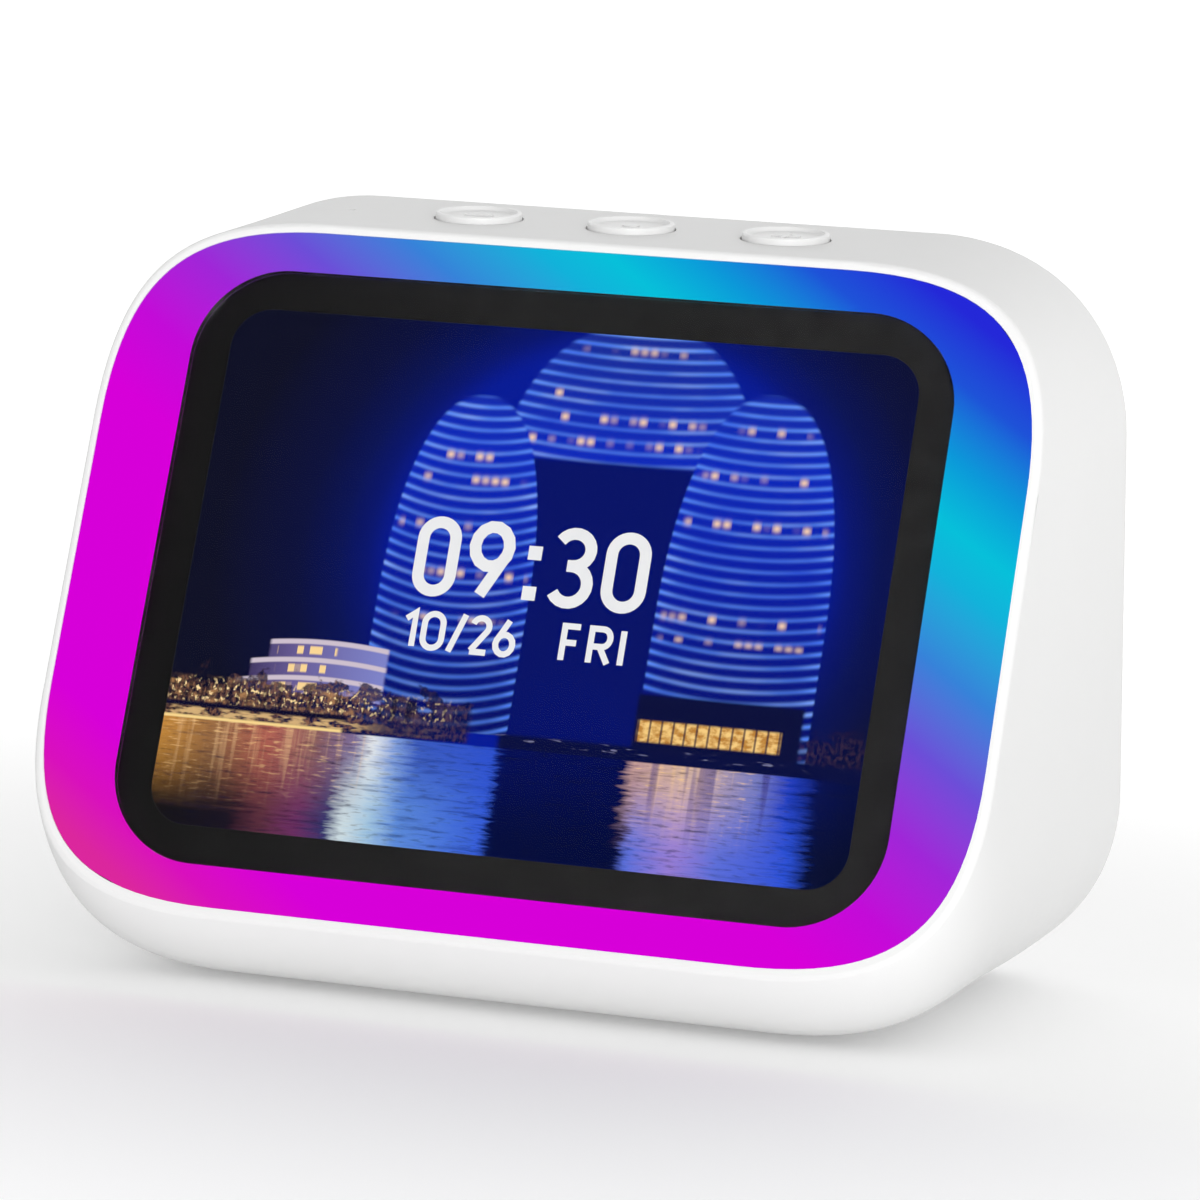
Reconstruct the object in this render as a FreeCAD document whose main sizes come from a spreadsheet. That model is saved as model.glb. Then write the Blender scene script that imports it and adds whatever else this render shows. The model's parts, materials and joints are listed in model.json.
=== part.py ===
# Desktop smart display: a white moulded housing with a tilted four-inch touch screen, a lit ring round
# the screen, three buttons on top, and a loudspeaker that faces the back. Millimetres, +Z up, +X to the
# right of someone facing the screen, -Y towards that person. The origin is the centre of the footprint,
# at the surface that the rubber foot rests on.
import FreeCAD, Part
import math
import os
import Sketcher

Vector, Rotation, Placement = FreeCAD.Vector, FreeCAD.Rotation, FreeCAD.Placement
doc = FreeCAD.newDocument("smart_display")

# ---------------------------------------------------------------- driving dimensions
DIMENSIONS = [
    ("face_tilt", 20.0, "lean of the screen from upright, degrees"),
    ("ring_height", 46.3, "centre of the screen above the flat underside"),
    ("ring_y", -23.28, "centre of the screen, front to back"),
    ("foot_proud", 0.5, "rubber foot below the underside"),
    ("rim_width", 111.5, "housing outline at the screen"),
    ("rim_tall", 81.1, "housing outline at the screen, along the lean"),
    ("back_width", 113.9, "housing outline at the back"),
    ("rim_reach", 24.9, "length of a soft corner at the screen"),
    ("rim_fullness", 0.73, "corner handle over corner reach at the screen"),
    ("back_reach", 22.0, "length of a corner at the back"),
    ("back_fullness", 0.5523, "corner handle over reach that gives a round corner"),
    ("chin_radius", 15.5, "curve from the screen's lower edge to the underside"),
    ("top_rise", 6.0, "rise of the top towards the back, degrees"),
    ("back_lean", 11.1, "forward lean of the back, degrees"),
    ("back_depth", 62.1, "back of the underside behind the centre of the screen"),
    ("back_round", 8.0, "rounding of the back's edges"),
    ("rim_round", 0.8, "rounding of the rim's edge"),
    ("wall", 2.0, "housing wall"),
    ("ring_width", 109.35, "front opening"),
    ("ring_tall", 78.96, "front opening, along the lean"),
    ("ring_reach", 23.9, "length of a soft corner of the front opening"),
    ("recess_deep", 9.5, "straight part of the front opening"),
    ("fit_gap", 0.08, "gap round a part laid in the front opening"),
    ("glass_width", 90.2, "cover glass"),
    ("glass_tall", 69.4, "cover glass"),
    ("glass_radius", 10.8, "cover glass corners"),
    ("glass_thick", 1.0, "cover glass"),
    ("ink_thick", 0.1, "black print behind the glass, and clear bond inside it"),
    ("bond_thick", 0.02, "clear bond between the glass and the print"),
    ("screen_width", 81.6, "picture area"),
    ("screen_tall", 60.6, "picture area"),
    ("screen_radius", 4.7, "picture area corners"),
    ("touch_width", 88.6, "touch sensor"),
    ("touch_tall", 67.8, "touch sensor"),
    ("touch_thick", 0.4, "touch sensor"),
    ("panel_width", 83.0, "liquid crystal panel"),
    ("panel_tall", 62.0, "liquid crystal panel"),
    ("panel_thick", 1.4, "liquid crystal panel"),
    ("guide_thick", 1.8, "backlight light guide"),
    ("tray_wall", 0.4, "sheet metal tray of the screen"),
    ("tray_gap", 0.15, "room round the panel in its tray"),
    ("tape_thick", 0.3, "bonding tape and optical spacers"),
    ("foam_thick", 1.4, "foam behind the screen tray"),
    ("frame_thick", 2.0, "floor of the front frame"),
    ("frame_wall", 1.0, "walls of the front frame"),
    ("bay_width", 85.0, "screen bay of the front frame"),
    ("bay_tall", 64.0, "screen bay of the front frame"),
    ("bay_radius", 2.5, "screen bay corners"),
    ("bay_wall", 0.9, "wall round the screen bay, outside the glass's edge"),
    ("diffuser_thick", 2.0, "lit ring"),
    ("led_board_thick", 1.0, "board behind the lit ring"),
    ("led_size", 2.0, "lamp on the ring board"),
    ("led_tall", 0.9, "lamp on the ring board"),
    ("board_thick", 1.2, "main board"),
    ("board_width", 76.0, "main board"),
    ("board_tall", 46.0, "main board"),
    ("board_stand", 3.0, "main board above the frame's back"),
    ("post_radius", 3.0, "screw posts"),
    ("screw_radius", 1.1, "large screw shank"),
    ("small_screw_radius", 0.8, "small screw shank"),
    ("button_pitch", 18.5, "one button to the next"),
    ("button_shift", 1.2, "middle button from the centre line"),
    ("button_back", 26.0, "buttons behind the centre of the screen"),
    ("button_radius", 5.0, "button cap"),
    ("button_hole_gap", 0.22, "gap round a button cap"),
    ("button_proud", 0.8, "button rim above the top"),
    ("button_dish", 0.5, "floor of a button's dish below its rim"),
    ("button_rim", 0.5, "rim round a button's dish"),
    ("button_slope", 0.35, "foot of the dish's wall inside its top"),
    ("button_flange", 0.7, "flange that keeps a button in, beyond its cap"),
    ("stem_radius", 1.5, "switch plunger"),
    ("stem_gap", 0.05, "switch plunger in its guide"),
    ("key_board_deep", 8.2, "top of the key board below the top surface"),
    ("key_board_thick", 1.0, "key board"),
    ("mic_x", -33.0, "microphone hole"),
    ("mic_radius", 0.5, "microphone hole"),
    ("speaker_up", 46.0, "loudspeaker centre along the back from the underside"),
    ("grille_radius", 22.3, "perforated grille"),
    ("grille_hole", 0.85, "radius of a grille hole"),
    ("grille_pitch", 3.3, "one ring of grille holes to the next"),
    ("jack_up", 13.5, "power socket along the back from the underside"),
    ("jack_hole", 3.9, "radius of the power socket's opening"),
    ("plate_width", 68.0, "base opening"),
    ("plate_deep", 44.0, "base opening, front to back"),
    ("plate_radius", 12.0, "base opening corners"),
    ("plate_y", 26.0, "middle of the base opening behind the centre of the screen"),
    ("plate_thick", 1.6, "base plate"),
]

sheet = doc.addObject("Spreadsheet::Sheet", "dims")
for row, (alias, value, meaning) in enumerate(DIMENSIONS, start=1):
    sheet.set("A%d" % row, meaning)
    sheet.set("B%d" % row, str(value))
    sheet.setAlias("B%d" % row, alias)
doc.recompute()
probe = doc.addObject("App::FeaturePython", "probe")


def size(formula):
    """Value of a formula over the sheet's cells, such as 'dims.wall * 2'."""
    return float(probe.evalExpression(str(formula)))


def angle(alias):
    """One of the sheet's angles, in radians."""
    return math.radians(size("dims." + alias))


# ---------------------------------------------------------------- frames of reference
ABOUT_X = Vector(1, 0, 0)
TILT, RISE, LEAN = angle("face_tilt"), angle("top_rise"), angle("back_lean")
RING_Y, RING_Z = size("dims.ring_y"), size("dims.ring_height + dims.foot_proud")


def shifted(frame, x=0.0, y=0.0, z=0.0):
    """The same frame, moved along its own axes."""
    return frame.multiply(Placement(Vector(x, y, z), Rotation()))


def side_point(x, y, z, turn):
    """Frame at x, with y behind the screen's centre and z above the underside, turned about X."""
    return Placement(Vector(x, RING_Y + y, size("dims.foot_proud") + z), Rotation(ABOUT_X, turn))


# The screen's frame: x to the right, y up the screen, z out of it, zero at the glass.
FACE = Placement(Vector(0, RING_Y, RING_Z), Rotation(ABOUT_X, 90 - size("dims.face_tilt")))
# The base's frame: z up, zero at the flat underside, centred on the base plate.
BASE = side_point(0, size("dims.plate_y"), 0, 0)


def top_frame(x):
    """Frame on the top surface in line with the buttons, z out of the surface."""
    rim_y, rim_z = rim_point(+1)
    back = size("dims.button_back")
    return side_point(x, back, rim_z + (back - rim_y) * math.tan(RISE), size("dims.top_rise"))


def back_frame(up, x=0.0):
    """Frame on the back surface, 'up' along it from the underside, z out and y down the surface."""
    y = size("dims.back_depth") - up * math.sin(LEAN)
    return side_point(x, y, up * math.cos(LEAN), size("dims.back_lean") - 90)


def rim_point(end):
    """Side-view place of the rim's top (end = 1) or bottom (end = -1): behind centre, above base."""
    half = size("dims.rim_tall / 2")
    return end * half * math.sin(TILT), size("dims.ring_height") + end * half * math.cos(TILT)


# ---------------------------------------------------------------- drawing and modelling helpers
NODES = {}


def keep(label, thing):
    """Take an object as a finished piece under its own name."""
    thing.Label = label
    NODES[label] = thing
    return thing


def link_sizes(thing, **formulas):
    for name, formula in formulas.items():
        thing.setExpression(name, str(formula))


def block(name, length, width, height, frame):
    """Box centred on the frame in x and y, rising from it in z."""
    thing = doc.addObject("Part::Box", name)
    link_sizes(thing, Length=length, Width=width, Height=height)
    thing.Placement = shifted(frame, -size(length) / 2, -size(width) / 2)
    return thing


def rod(name, radius, height, frame):
    thing = doc.addObject("Part::Cylinder", name)
    link_sizes(thing, Radius=radius, Height=height)
    thing.Placement = frame
    return thing


def join(name, things):
    thing = doc.addObject("Part::MultiFuse", name)
    thing.Shapes = things
    return thing


def gather(name, things):
    """Separate solids that make one group."""
    thing = doc.addObject("Part::Compound", name)
    thing.Links = things
    return thing


def carve(name, base, tools):
    thing = doc.addObject("Part::Cut", name)
    thing.Base = base
    thing.Tool = tools[0] if len(tools) == 1 else join(name + "_tools", tools)
    return thing


def soft_outline(width, tall, reach, fullness):
    """Rectangle with long, soft corners, each one cubic curve; a line and a corner by turns."""
    half_w, half_t = width / 2, tall / 2
    handle = reach * (1 - fullness)
    edges = []
    for sign_x, sign_y, swap in ((1, 1, False), (-1, 1, True), (-1, -1, False), (1, -1, True)):
        side = [Vector(sign_x * half_w, sign_y * (half_t - reach), 0),
                Vector(sign_x * half_w, sign_y * (half_t - handle), 0)]
        end = [Vector(sign_x * (half_w - handle), sign_y * half_t, 0),
               Vector(sign_x * (half_w - reach), sign_y * half_t, 0)]
        poles = side + end
        if swap:
            poles.reverse()
        curve = Part.BezierCurve()
        curve.setPoles(poles)
        edges.append(curve.toShape())
    loop = []
    for here, following in zip(edges, edges[1:] + edges[:1]):
        loop += [here, Part.LineSegment(here.Vertexes[-1].Point, following.Vertexes[0].Point).toShape()]
    return Part.Wire(loop)


def soft_slab(name, inset, thick, frame):
    """Slab with the front opening's outline, drawn in by 'inset' all round."""
    by = size(inset)
    outline = doc.addObject("Part::Feature", name + "_outline")
    outline.Shape = soft_outline(size("dims.ring_width") - 2 * by, size("dims.ring_tall") - 2 * by,
                                 size("dims.ring_reach") - by, size("dims.rim_fullness"))
    slab = doc.addObject("Part::Extrusion", name)
    slab.Base = outline
    slab.DirMode = "Custom"
    slab.Dir = Vector(0, 0, 1)
    link_sizes(slab, LengthFwd=thick)
    slab.Solid = True
    slab.Placement = frame
    return slab


def new_sketch(body, plane, name):
    sketch = body.newObject("Sketcher::SketchObject", name)
    origin_plane = [item for item in body.Origin.OriginFeatures if item.Role == plane][0]
    sketch.AttachmentSupport = [(origin_plane, "")]
    sketch.MapMode = "FlatFace"
    return sketch


def hold(sketch, constraint, formula):
    """Add a dimension to a sketch and link it to a formula."""
    number = sketch.addConstraint(constraint)
    sketch.setExpression("Constraints[%d]" % number, str(formula))


def hold_point(sketch, geometry, end, x, y):
    """Fix one point of a sketch at (x, y) from its origin."""
    hold(sketch, Sketcher.Constraint("DistanceX", -1, 1, geometry, end, size(x)), x)
    hold(sketch, Sketcher.Constraint("DistanceY", -1, 1, geometry, end, size(y)), y)


def draw_rounded(sketch, width, tall, radius):
    """Rounded rectangle centred on the sketch's origin."""
    middle_x, middle_y = "((%s) / 2 - (%s))" % (width, radius), "((%s) / 2 - (%s))" % (tall, radius)
    x, y, r = size(middle_x), size(middle_y), size(radius)
    arcs, lines = [], []
    for quarter, (sign_x, sign_y) in enumerate(((1, 1), (-1, 1), (-1, -1), (1, -1))):
        circle = Part.Circle(Vector(sign_x * x, sign_y * y, 0), Vector(0, 0, 1), r)
        start = quarter * math.pi / 2
        arcs.append(sketch.addGeometry(Part.ArcOfCircle(circle, start, start + math.pi / 2)))
    ends = [((x, y + r), (-x, y + r)), ((-x - r, y), (-x - r, -y)),
            ((-x, -y - r), (x, -y - r)), ((x + r, -y), (x + r, y))]
    for start, end in ends:
        lines.append(sketch.addGeometry(Part.LineSegment(Vector(*start, 0), Vector(*end, 0))))
    for number in range(4):
        following = arcs[(number + 1) % 4]
        sketch.addConstraint(Sketcher.Constraint("Tangent", arcs[number], 2, lines[number], 1))
        sketch.addConstraint(Sketcher.Constraint("Tangent", lines[number], 2, following, 1))
    sketch.addConstraint(Sketcher.Constraint("Horizontal", lines[0]))
    sketch.addConstraint(Sketcher.Constraint("Vertical", lines[1]))
    for number in (1, 2, 3):
        sketch.addConstraint(Sketcher.Constraint("Equal", arcs[0], arcs[number]))
    hold(sketch, Sketcher.Constraint("Radius", arcs[0], r), radius)
    hold_point(sketch, arcs[0], 3, middle_x, middle_y)
    hold_point(sketch, arcs[2], 3, "-1 * " + middle_x, "-1 * " + middle_y)


def draw_polygon(sketch, points):
    """Closed polygon whose corners are pairs of formulas."""
    places = [Vector(size(x), size(y), 0) for x, y in points]
    lines = []
    for start, end in zip(places, places[1:] + places[:1]):
        lines.append(sketch.addGeometry(Part.LineSegment(start, end)))
    for number, line in enumerate(lines):
        following = lines[(number + 1) % len(lines)]
        sketch.addConstraint(Sketcher.Constraint("Coincident", line, 2, following, 1))
        hold_point(sketch, line, 1, *points[number])


def draw_circles(sketch, centres, radius):
    for x, y in centres:
        circle = Part.Circle(Vector(size(x), size(y), 0), Vector(0, 0, 1), size(radius))
        geometry = sketch.addGeometry(circle)
        hold(sketch, Sketcher.Constraint("Radius", geometry, size(radius)), radius)
        hold_point(sketch, geometry, 3, x, y)


def sheet_body(name, width, tall, radius, thick, frame):
    """Flat rounded sheet, its back on the frame's z = 0."""
    body = doc.addObject("PartDesign::Body", name)
    sketch = new_sketch(body, "XY_Plane", name + "_outline")
    draw_rounded(sketch, width, tall, radius)
    pad = body.newObject("PartDesign::Pad", name + "_pad")
    pad.Profile = sketch
    link_sizes(pad, Length=thick)
    body.Placement = frame
    doc.recompute()
    return body


def pocket(body, name, sketch, depth=None, downwards=False):
    """Cut from the body's own XY plane, upwards and right through unless told otherwise."""
    before = body.Shape.Volume
    cut = body.newObject("PartDesign::Pocket", name)
    cut.Profile = sketch
    cut.Reversed = not downwards
    if depth is None:
        cut.Type = "ThroughAll"
    else:
        link_sizes(cut, Length=depth)
    doc.recompute()
    if body.Shape.Volume >= before:
        raise RuntimeError(name + " cuts nothing")
    return cut


def window(body, width, tall, radius, depth=None):
    sketch = new_sketch(body, "XY_Plane", body.Name + "_window")
    draw_rounded(sketch, width, tall, radius)
    return pocket(body, body.Name + "_opening", sketch, depth)


def holes(body, centres, radius, depth=None):
    sketch = new_sketch(body, "XY_Plane", body.Name + "_hole_plan")
    draw_circles(sketch, centres, radius)
    return pocket(body, body.Name + "_holes", sketch, depth)


def turned(name, points, frame):
    """Solid of revolution about the frame's z, from corners given as (radius, height)."""
    body = doc.addObject("PartDesign::Body", name)
    sketch = new_sketch(body, "XZ_Plane", name + "_profile")
    draw_polygon(sketch, points)
    revolution = body.newObject("PartDesign::Revolution", name + "_turn")
    revolution.Profile = sketch
    revolution.ReferenceAxis = (sketch, ["V_Axis"])
    revolution.Angle = 360
    body.Placement = frame
    doc.recompute()
    return body


def corners(x, y):
    """Four places, mirrored both ways."""
    return [(sign_x * x, sign_y * y) for sign_x in (1, -1) for sign_y in (1, -1)]


# ---------------------------------------------------------------- housing
SECTIONS_ON_CHIN = 5
SECTIONS_ON_BASE = (0.2, 0.45, 0.72, 1.0)
POST_X, POST_Y = 49.8, 16.0           # screws between housing and front frame, in the screen's frame
POST_TALL = 10.0
RIB_LONG, RIB_WIDE = 5.4, 3.0         # rib from each of those posts to the side wall
LUG_AT = 21.4                         # screws between housing and speaker box, from the speaker's axis
SPEAKER_POST, SPEAKER_POST_TALL = 2.6, 8.0
KEY_POST, BASE_POST, BASE_POST_TALL = 2.2, 2.0, 5.0
PILOT, SMALL_PILOT = "dims.screw_radius + 0.05", "dims.small_screw_radius + 0.05"
THROUGH, SMALL_THROUGH = "dims.screw_radius + 0.15", "dims.small_screw_radius + 0.2"
KEY_POST_X = "dims.button_pitch / 2"
PLATE_SCREWS = corners(32.0, 8.0)


def crossing(p, p_along, q, q_along):
    """Where two side-view lines meet, each a point and a direction."""
    det = p_along[0] * -q_along[1] + q_along[0] * p_along[1]
    gap = (q[0] - p[0], q[1] - p[1])
    reach = (gap[0] * -q_along[1] + q_along[0] * gap[1]) / det
    return p[0] + reach * p_along[0], p[1] + reach * p_along[1]


def housing_skin(inset):
    """Loft of cross-sections that fan from the leaning screen to the leaning back.

    Every section's plane passes through the line where the two leaning planes meet. Its lower end runs
    along the chin's arc and then the underside, its upper end along the rising top.
    """
    rim_low, rim_high = rim_point(-1), rim_point(+1)
    chin_r = size("dims.chin_radius")
    chin = (rim_low[0] + math.sqrt(chin_r ** 2 - (chin_r - rim_low[1]) ** 2), chin_r)
    into = (math.cos(TILT), -math.sin(TILT))
    depth_of_chin = into[0] * (chin[0] - rim_low[0]) + into[1] * (chin[1] - rim_low[1])
    up_face, up_back = (math.sin(TILT), math.cos(TILT)), (-math.sin(LEAN), math.cos(LEAN))
    back_foot = (size("dims.back_depth") - inset * math.cos(LEAN), -inset * math.sin(LEAN))
    hub = crossing((0, size("dims.ring_height")), up_face, back_foot, up_back)
    along_top = (math.cos(RISE), math.sin(RISE))
    top_start = (rim_high[0] + inset * math.sin(RISE), rim_high[1] - inset * math.cos(RISE))
    radius = chin_r - inset
    first = math.pi / 2 + TILT - math.acos(depth_of_chin / radius)
    lows = []
    for step in range(SECTIONS_ON_CHIN):
        turn = first * (1 - step / (SECTIONS_ON_CHIN - 1))
        lows.append((chin[0] - radius * math.sin(turn), chin_r - radius * math.cos(turn)))
    last = crossing(back_foot, up_back, (0, inset), (1, 0))
    for part_way in SECTIONS_ON_BASE:
        lows.append((chin[0] + part_way * (last[0] - chin[0]), inset))
    wires = []
    for low in lows:
        toward = (low[0] - hub[0], low[1] - hub[1])
        high = crossing(hub, toward, top_start, along_top)
        lean = math.atan2(toward[0], -toward[1])
        share = (lean + TILT) / (LEAN + TILT)
        spread = math.sin(share * math.pi / 2)
        width = size("dims.rim_width") + spread * size("dims.back_width - dims.rim_width") - 2 * inset
        tall = math.hypot(high[0] - low[0], high[1] - low[1])
        reach = size("dims.rim_reach") + share * size("dims.back_reach - dims.rim_reach") - inset
        fullness = size("dims.rim_fullness") + share * size("dims.back_fullness - dims.rim_fullness")
        wire = soft_outline(width, tall, reach, fullness)
        middle_y, middle_z = (low[0] + high[0]) / 2, (low[1] + high[1]) / 2
        turn = math.degrees(math.atan2(high[1] - low[1], high[0] - low[0]))
        wire.Placement = side_point(0, middle_y, middle_z, turn)
        wires.append(wire)
    return Part.makeLoft(wires, True, False)


def edges_on(solid, frame):
    """Edges that lie in the frame's z = 0 plane."""
    flat = []
    back = frame.inverse()
    for edge in solid.Edges:
        mid = edge.valueAt((edge.FirstParameter + edge.LastParameter) / 2)
        ends = [vertex.Point for vertex in edge.Vertexes] + [mid]
        if all(abs(back.multVec(point).z) < 0.01 for point in ends):
            flat.append(edge)
    return flat


def housing_body():
    """Shell with its openings, screw posts and ledges."""
    outer = doc.addObject("Part::Feature", "housing_outside")
    skin = housing_skin(0)
    skin = skin.makeFillet(size("dims.back_round"), edges_on(skin, back_frame(0)))
    outer.Shape = skin.makeFillet(size("dims.rim_round"), edges_on(skin, FACE))
    inner = doc.addObject("Part::Feature", "housing_inside")
    hollow = housing_skin(size("dims.wall"))
    inner_back = shifted(back_frame(0), z=-size("dims.wall"))
    inner.Shape = hollow.makeFillet(size("dims.back_round - dims.wall"), edges_on(hollow, inner_back))
    recess = soft_slab("front_recess", 0, "dims.recess_deep + 1", shifted(FACE, z=-size("dims.recess_deep")))
    shell = carve("housing_shell", outer, [inner, recess])
    solid = join("housing_solid", [shell] + housing_posts())
    return carve("housing", solid, housing_openings())


def housing_posts():
    """Screw posts, ribs and the ledge round the base opening."""
    posts = []
    post_top = frame_back()
    for number, (x, y) in enumerate(corners(POST_X, POST_Y)):
        at = shifted(FACE, x, y, post_top - POST_TALL)
        posts.append(rod("frame_post%d" % number, "dims.post_radius", POST_TALL, at))
        side = shifted(FACE, x + math.copysign(RIB_LONG / 2, x), y, post_top - POST_TALL)
        posts.append(block("frame_post_rib%d" % number, RIB_LONG, RIB_WIDE, POST_TALL, side))
    for number, (x, y) in enumerate(corners(LUG_AT, LUG_AT)):
        at = shifted(speaker_frame(), x, y, -SPEAKER_POST_TALL)
        posts.append(rod("speaker_post%d" % number, SPEAKER_POST,
                         "%s - dims.wall / 2" % SPEAKER_POST_TALL, at))
    for number, side in enumerate((-1, 1)):
        at = top_frame(size("dims.button_shift") + side * size(KEY_POST_X))
        drop = shifted(at, z=-size("dims.key_board_deep"))
        posts.append(rod("key_post%d" % number, KEY_POST, "dims.key_board_deep - dims.wall / 2", drop))
    ledge = sheet_body("base_ledge_ring", "dims.plate_width + 3", "dims.plate_deep + 3",
                       "dims.plate_radius + 1.5", "2 + dims.wall - dims.plate_thick",
                       shifted(BASE, z=size("dims.plate_thick")))
    posts.append(ledge)
    for number, (x, y) in enumerate(PLATE_SCREWS):
        at = shifted(BASE, x, y, size("dims.plate_thick"))
        posts.append(rod("base_post%d" % number, BASE_POST, BASE_POST_TALL, at))
    shelf = shifted(back_frame(size("dims.jack_up")), y=6.9, z=-10)
    posts.append(block("power_shelf", 12, 1.6, "10 - dims.wall / 2", shelf))
    return posts


def housing_openings():
    """Everything that is cut away from the finished shell."""
    cuts = []
    for number in range(3):
        at = shifted(top_frame(button_x(number)), z=-5)
        cuts.append(rod("button_hole%d" % number, "dims.button_radius + dims.button_hole_gap", 8, at))
    mic = shifted(top_frame(size("dims.mic_x")), z=-5)
    cuts.append(rod("mic_hole", "dims.mic_radius", 8, mic))
    cuts.append(rod("speaker_hole", "dims.grille_radius + 0.2", 6, shifted(speaker_frame(), z=-4)))
    cuts.append(rod("jack_hole", "dims.jack_hole", 4, shifted(back_frame(size("dims.jack_up")), z=-3)))
    cuts.append(sheet_body("base_opening", "dims.plate_width", "dims.plate_deep", "dims.plate_radius",
                           "dims.plate_thick + 1", shifted(BASE, z=-1)))
    cuts.append(sheet_body("base_window", "dims.plate_width - 8", "dims.plate_deep - 8",
                           "dims.plate_radius - 4", 8, BASE))
    for number, (x, y) in enumerate(corners(POST_X, POST_Y)):
        at = shifted(FACE, x, y, frame_back() - 8)
        cuts.append(rod("frame_pilot%d" % number, PILOT, 9, at))
    for number, (x, y) in enumerate(corners(LUG_AT, LUG_AT)):
        at = shifted(speaker_frame(), x, y, -9)
        cuts.append(rod("speaker_pilot%d" % number, PILOT, 7.3, at))
    for number, side in enumerate((-1, 1)):
        at = top_frame(size("dims.button_shift") + side * size(KEY_POST_X))
        drop = shifted(at, z=-size("dims.key_board_deep") - 1)
        cuts.append(rod("key_pilot%d" % number, SMALL_PILOT, 5, drop))
    for number, (x, y) in enumerate(PLATE_SCREWS):
        at = shifted(BASE, x, y, 1)
        cuts.append(rod("base_pilot%d" % number, SMALL_PILOT, 5, at))
    return cuts


def button_x(number):
    return size("dims.button_shift") + (number - 1) * size("dims.button_pitch")


def speaker_frame():
    return back_frame(size("dims.speaker_up"))


def frame_back():
    """Height of the front frame's back in the screen's frame."""
    return foam_back() - size("dims.frame_thick")


def touch_back():
    return -size("dims.glass_thick + dims.ink_thick + dims.touch_thick")


def foam_back():
    stack = size("dims.panel_thick + dims.guide_thick + dims.tray_wall + dims.foam_thick")
    return touch_back() - stack


# ---------------------------------------------------------------- screen and lit ring
def glass_shape(name, grow, thick, low):
    """Sheet with the glass's outline, 'grow' larger all round, from 'low' in the screen's frame."""
    return sheet_body(name, "dims.glass_width + 2 * (%s)" % grow, "dims.glass_tall + 2 * (%s)" % grow,
                      "dims.glass_radius + (%s)" % grow, thick, shifted(FACE, z=low))


def screen_stack():
    """Glass, print, touch sensor, panel, light guide and tray, from the front to the back."""
    front = -size("dims.glass_thick")
    keep("cover_glass", sheet_body("cover_glass", "dims.glass_width", "dims.glass_tall",
                                   "dims.glass_radius", "dims.glass_thick", shifted(FACE, z=front)))
    front -= size("dims.ink_thick")
    mask = sheet_body("border_mask", "dims.glass_width", "dims.glass_tall", "dims.glass_radius",
                      "dims.ink_thick - dims.bond_thick", shifted(FACE, z=front))
    window(mask, "dims.screen_width", "dims.screen_tall", "dims.screen_radius")
    keep("border_mask", mask)
    front -= size("dims.touch_thick")
    keep("touch_sensor", sheet_body("touch_sensor", "dims.touch_width", "dims.touch_tall",
                                    "dims.glass_radius - 0.8", "dims.touch_thick", shifted(FACE, z=front)))
    tape = sheet_body("display_tape", "dims.touch_width", "dims.touch_tall", "dims.glass_radius - 0.8",
                      "dims.tape_thick", shifted(FACE, z=front - size("dims.tape_thick")))
    window(tape, "dims.bay_width + 0.2", "dims.bay_tall + 0.2", "dims.bay_radius + 0.5")
    keep("display_tape", tape)
    front -= size("dims.panel_thick")
    keep("lcd_panel", sheet_body("lcd_panel", "dims.panel_width", "dims.panel_tall", 1,
                                 "dims.panel_thick", shifted(FACE, z=front)))
    front -= size("dims.guide_thick")
    strip_tall = 1.2
    guide_at = shifted(FACE, 0, strip_tall / 2, front)
    keep("light_guide", sheet_body("light_guide", "dims.panel_width", "dims.panel_tall - %s" % strip_tall,
                                   1, "dims.guide_thick", guide_at))
    strip_y = -size("dims.panel_tall") / 2 + strip_tall / 2
    keep("backlight_strip", block("backlight_strip", "dims.panel_width - 4", strip_tall - 0.3,
                                  "dims.guide_thick - 0.1", shifted(FACE, 0, strip_y, front)))
    tray_deep = "dims.panel_thick + dims.guide_thick + dims.tray_wall - 0.1"
    front -= size("dims.tray_wall")
    tray = sheet_body("tray_blank", "dims.panel_width + 2 * dims.tray_gap + 2 * dims.tray_wall",
                      "dims.panel_tall + 2 * dims.tray_gap + 2 * dims.tray_wall", 1.7, tray_deep,
                      shifted(FACE, z=front))
    hollow = sheet_body("tray_hollow", "dims.panel_width + 2 * dims.tray_gap",
                        "dims.panel_tall + 2 * dims.tray_gap", 1.2, 5,
                        shifted(FACE, z=front + size("dims.tray_wall")))
    keep("display_tray", carve("tray", tray, [hollow]))
    keep("tray_foam", sheet_body("tray_foam", "dims.panel_width - 4", "dims.panel_tall - 8", 2,
                                 "dims.foam_thick", shifted(FACE, z=foam_back())))


def display_flex():
    """Flat cable from the back of the screen tray, through the frame's slot, to the main board."""
    body = doc.addObject("PartDesign::Body", "display_flex")
    sketch = new_sketch(body, "YZ_Plane", "flex_profile")
    thick, start, bend = 0.2, -28.0, -31.5
    top, low, end = foam_back() + size("dims.foam_thick") - 0.1, board_back() - 0.9, -22.2
    outer = [(start, top), (bend, top), (bend, low), (end, low)]
    inner = [(end, low + thick), (bend + thick, low + thick), (bend + thick, top - thick),
             (start, top - thick)]
    draw_polygon(sketch, outer + inner)
    pad = body.newObject("PartDesign::Pad", "flex_pad")
    pad.Profile = sketch
    pad.Midplane = True
    pad.Length = 30
    body.Placement = FACE
    keep("display_flex", body)


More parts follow.
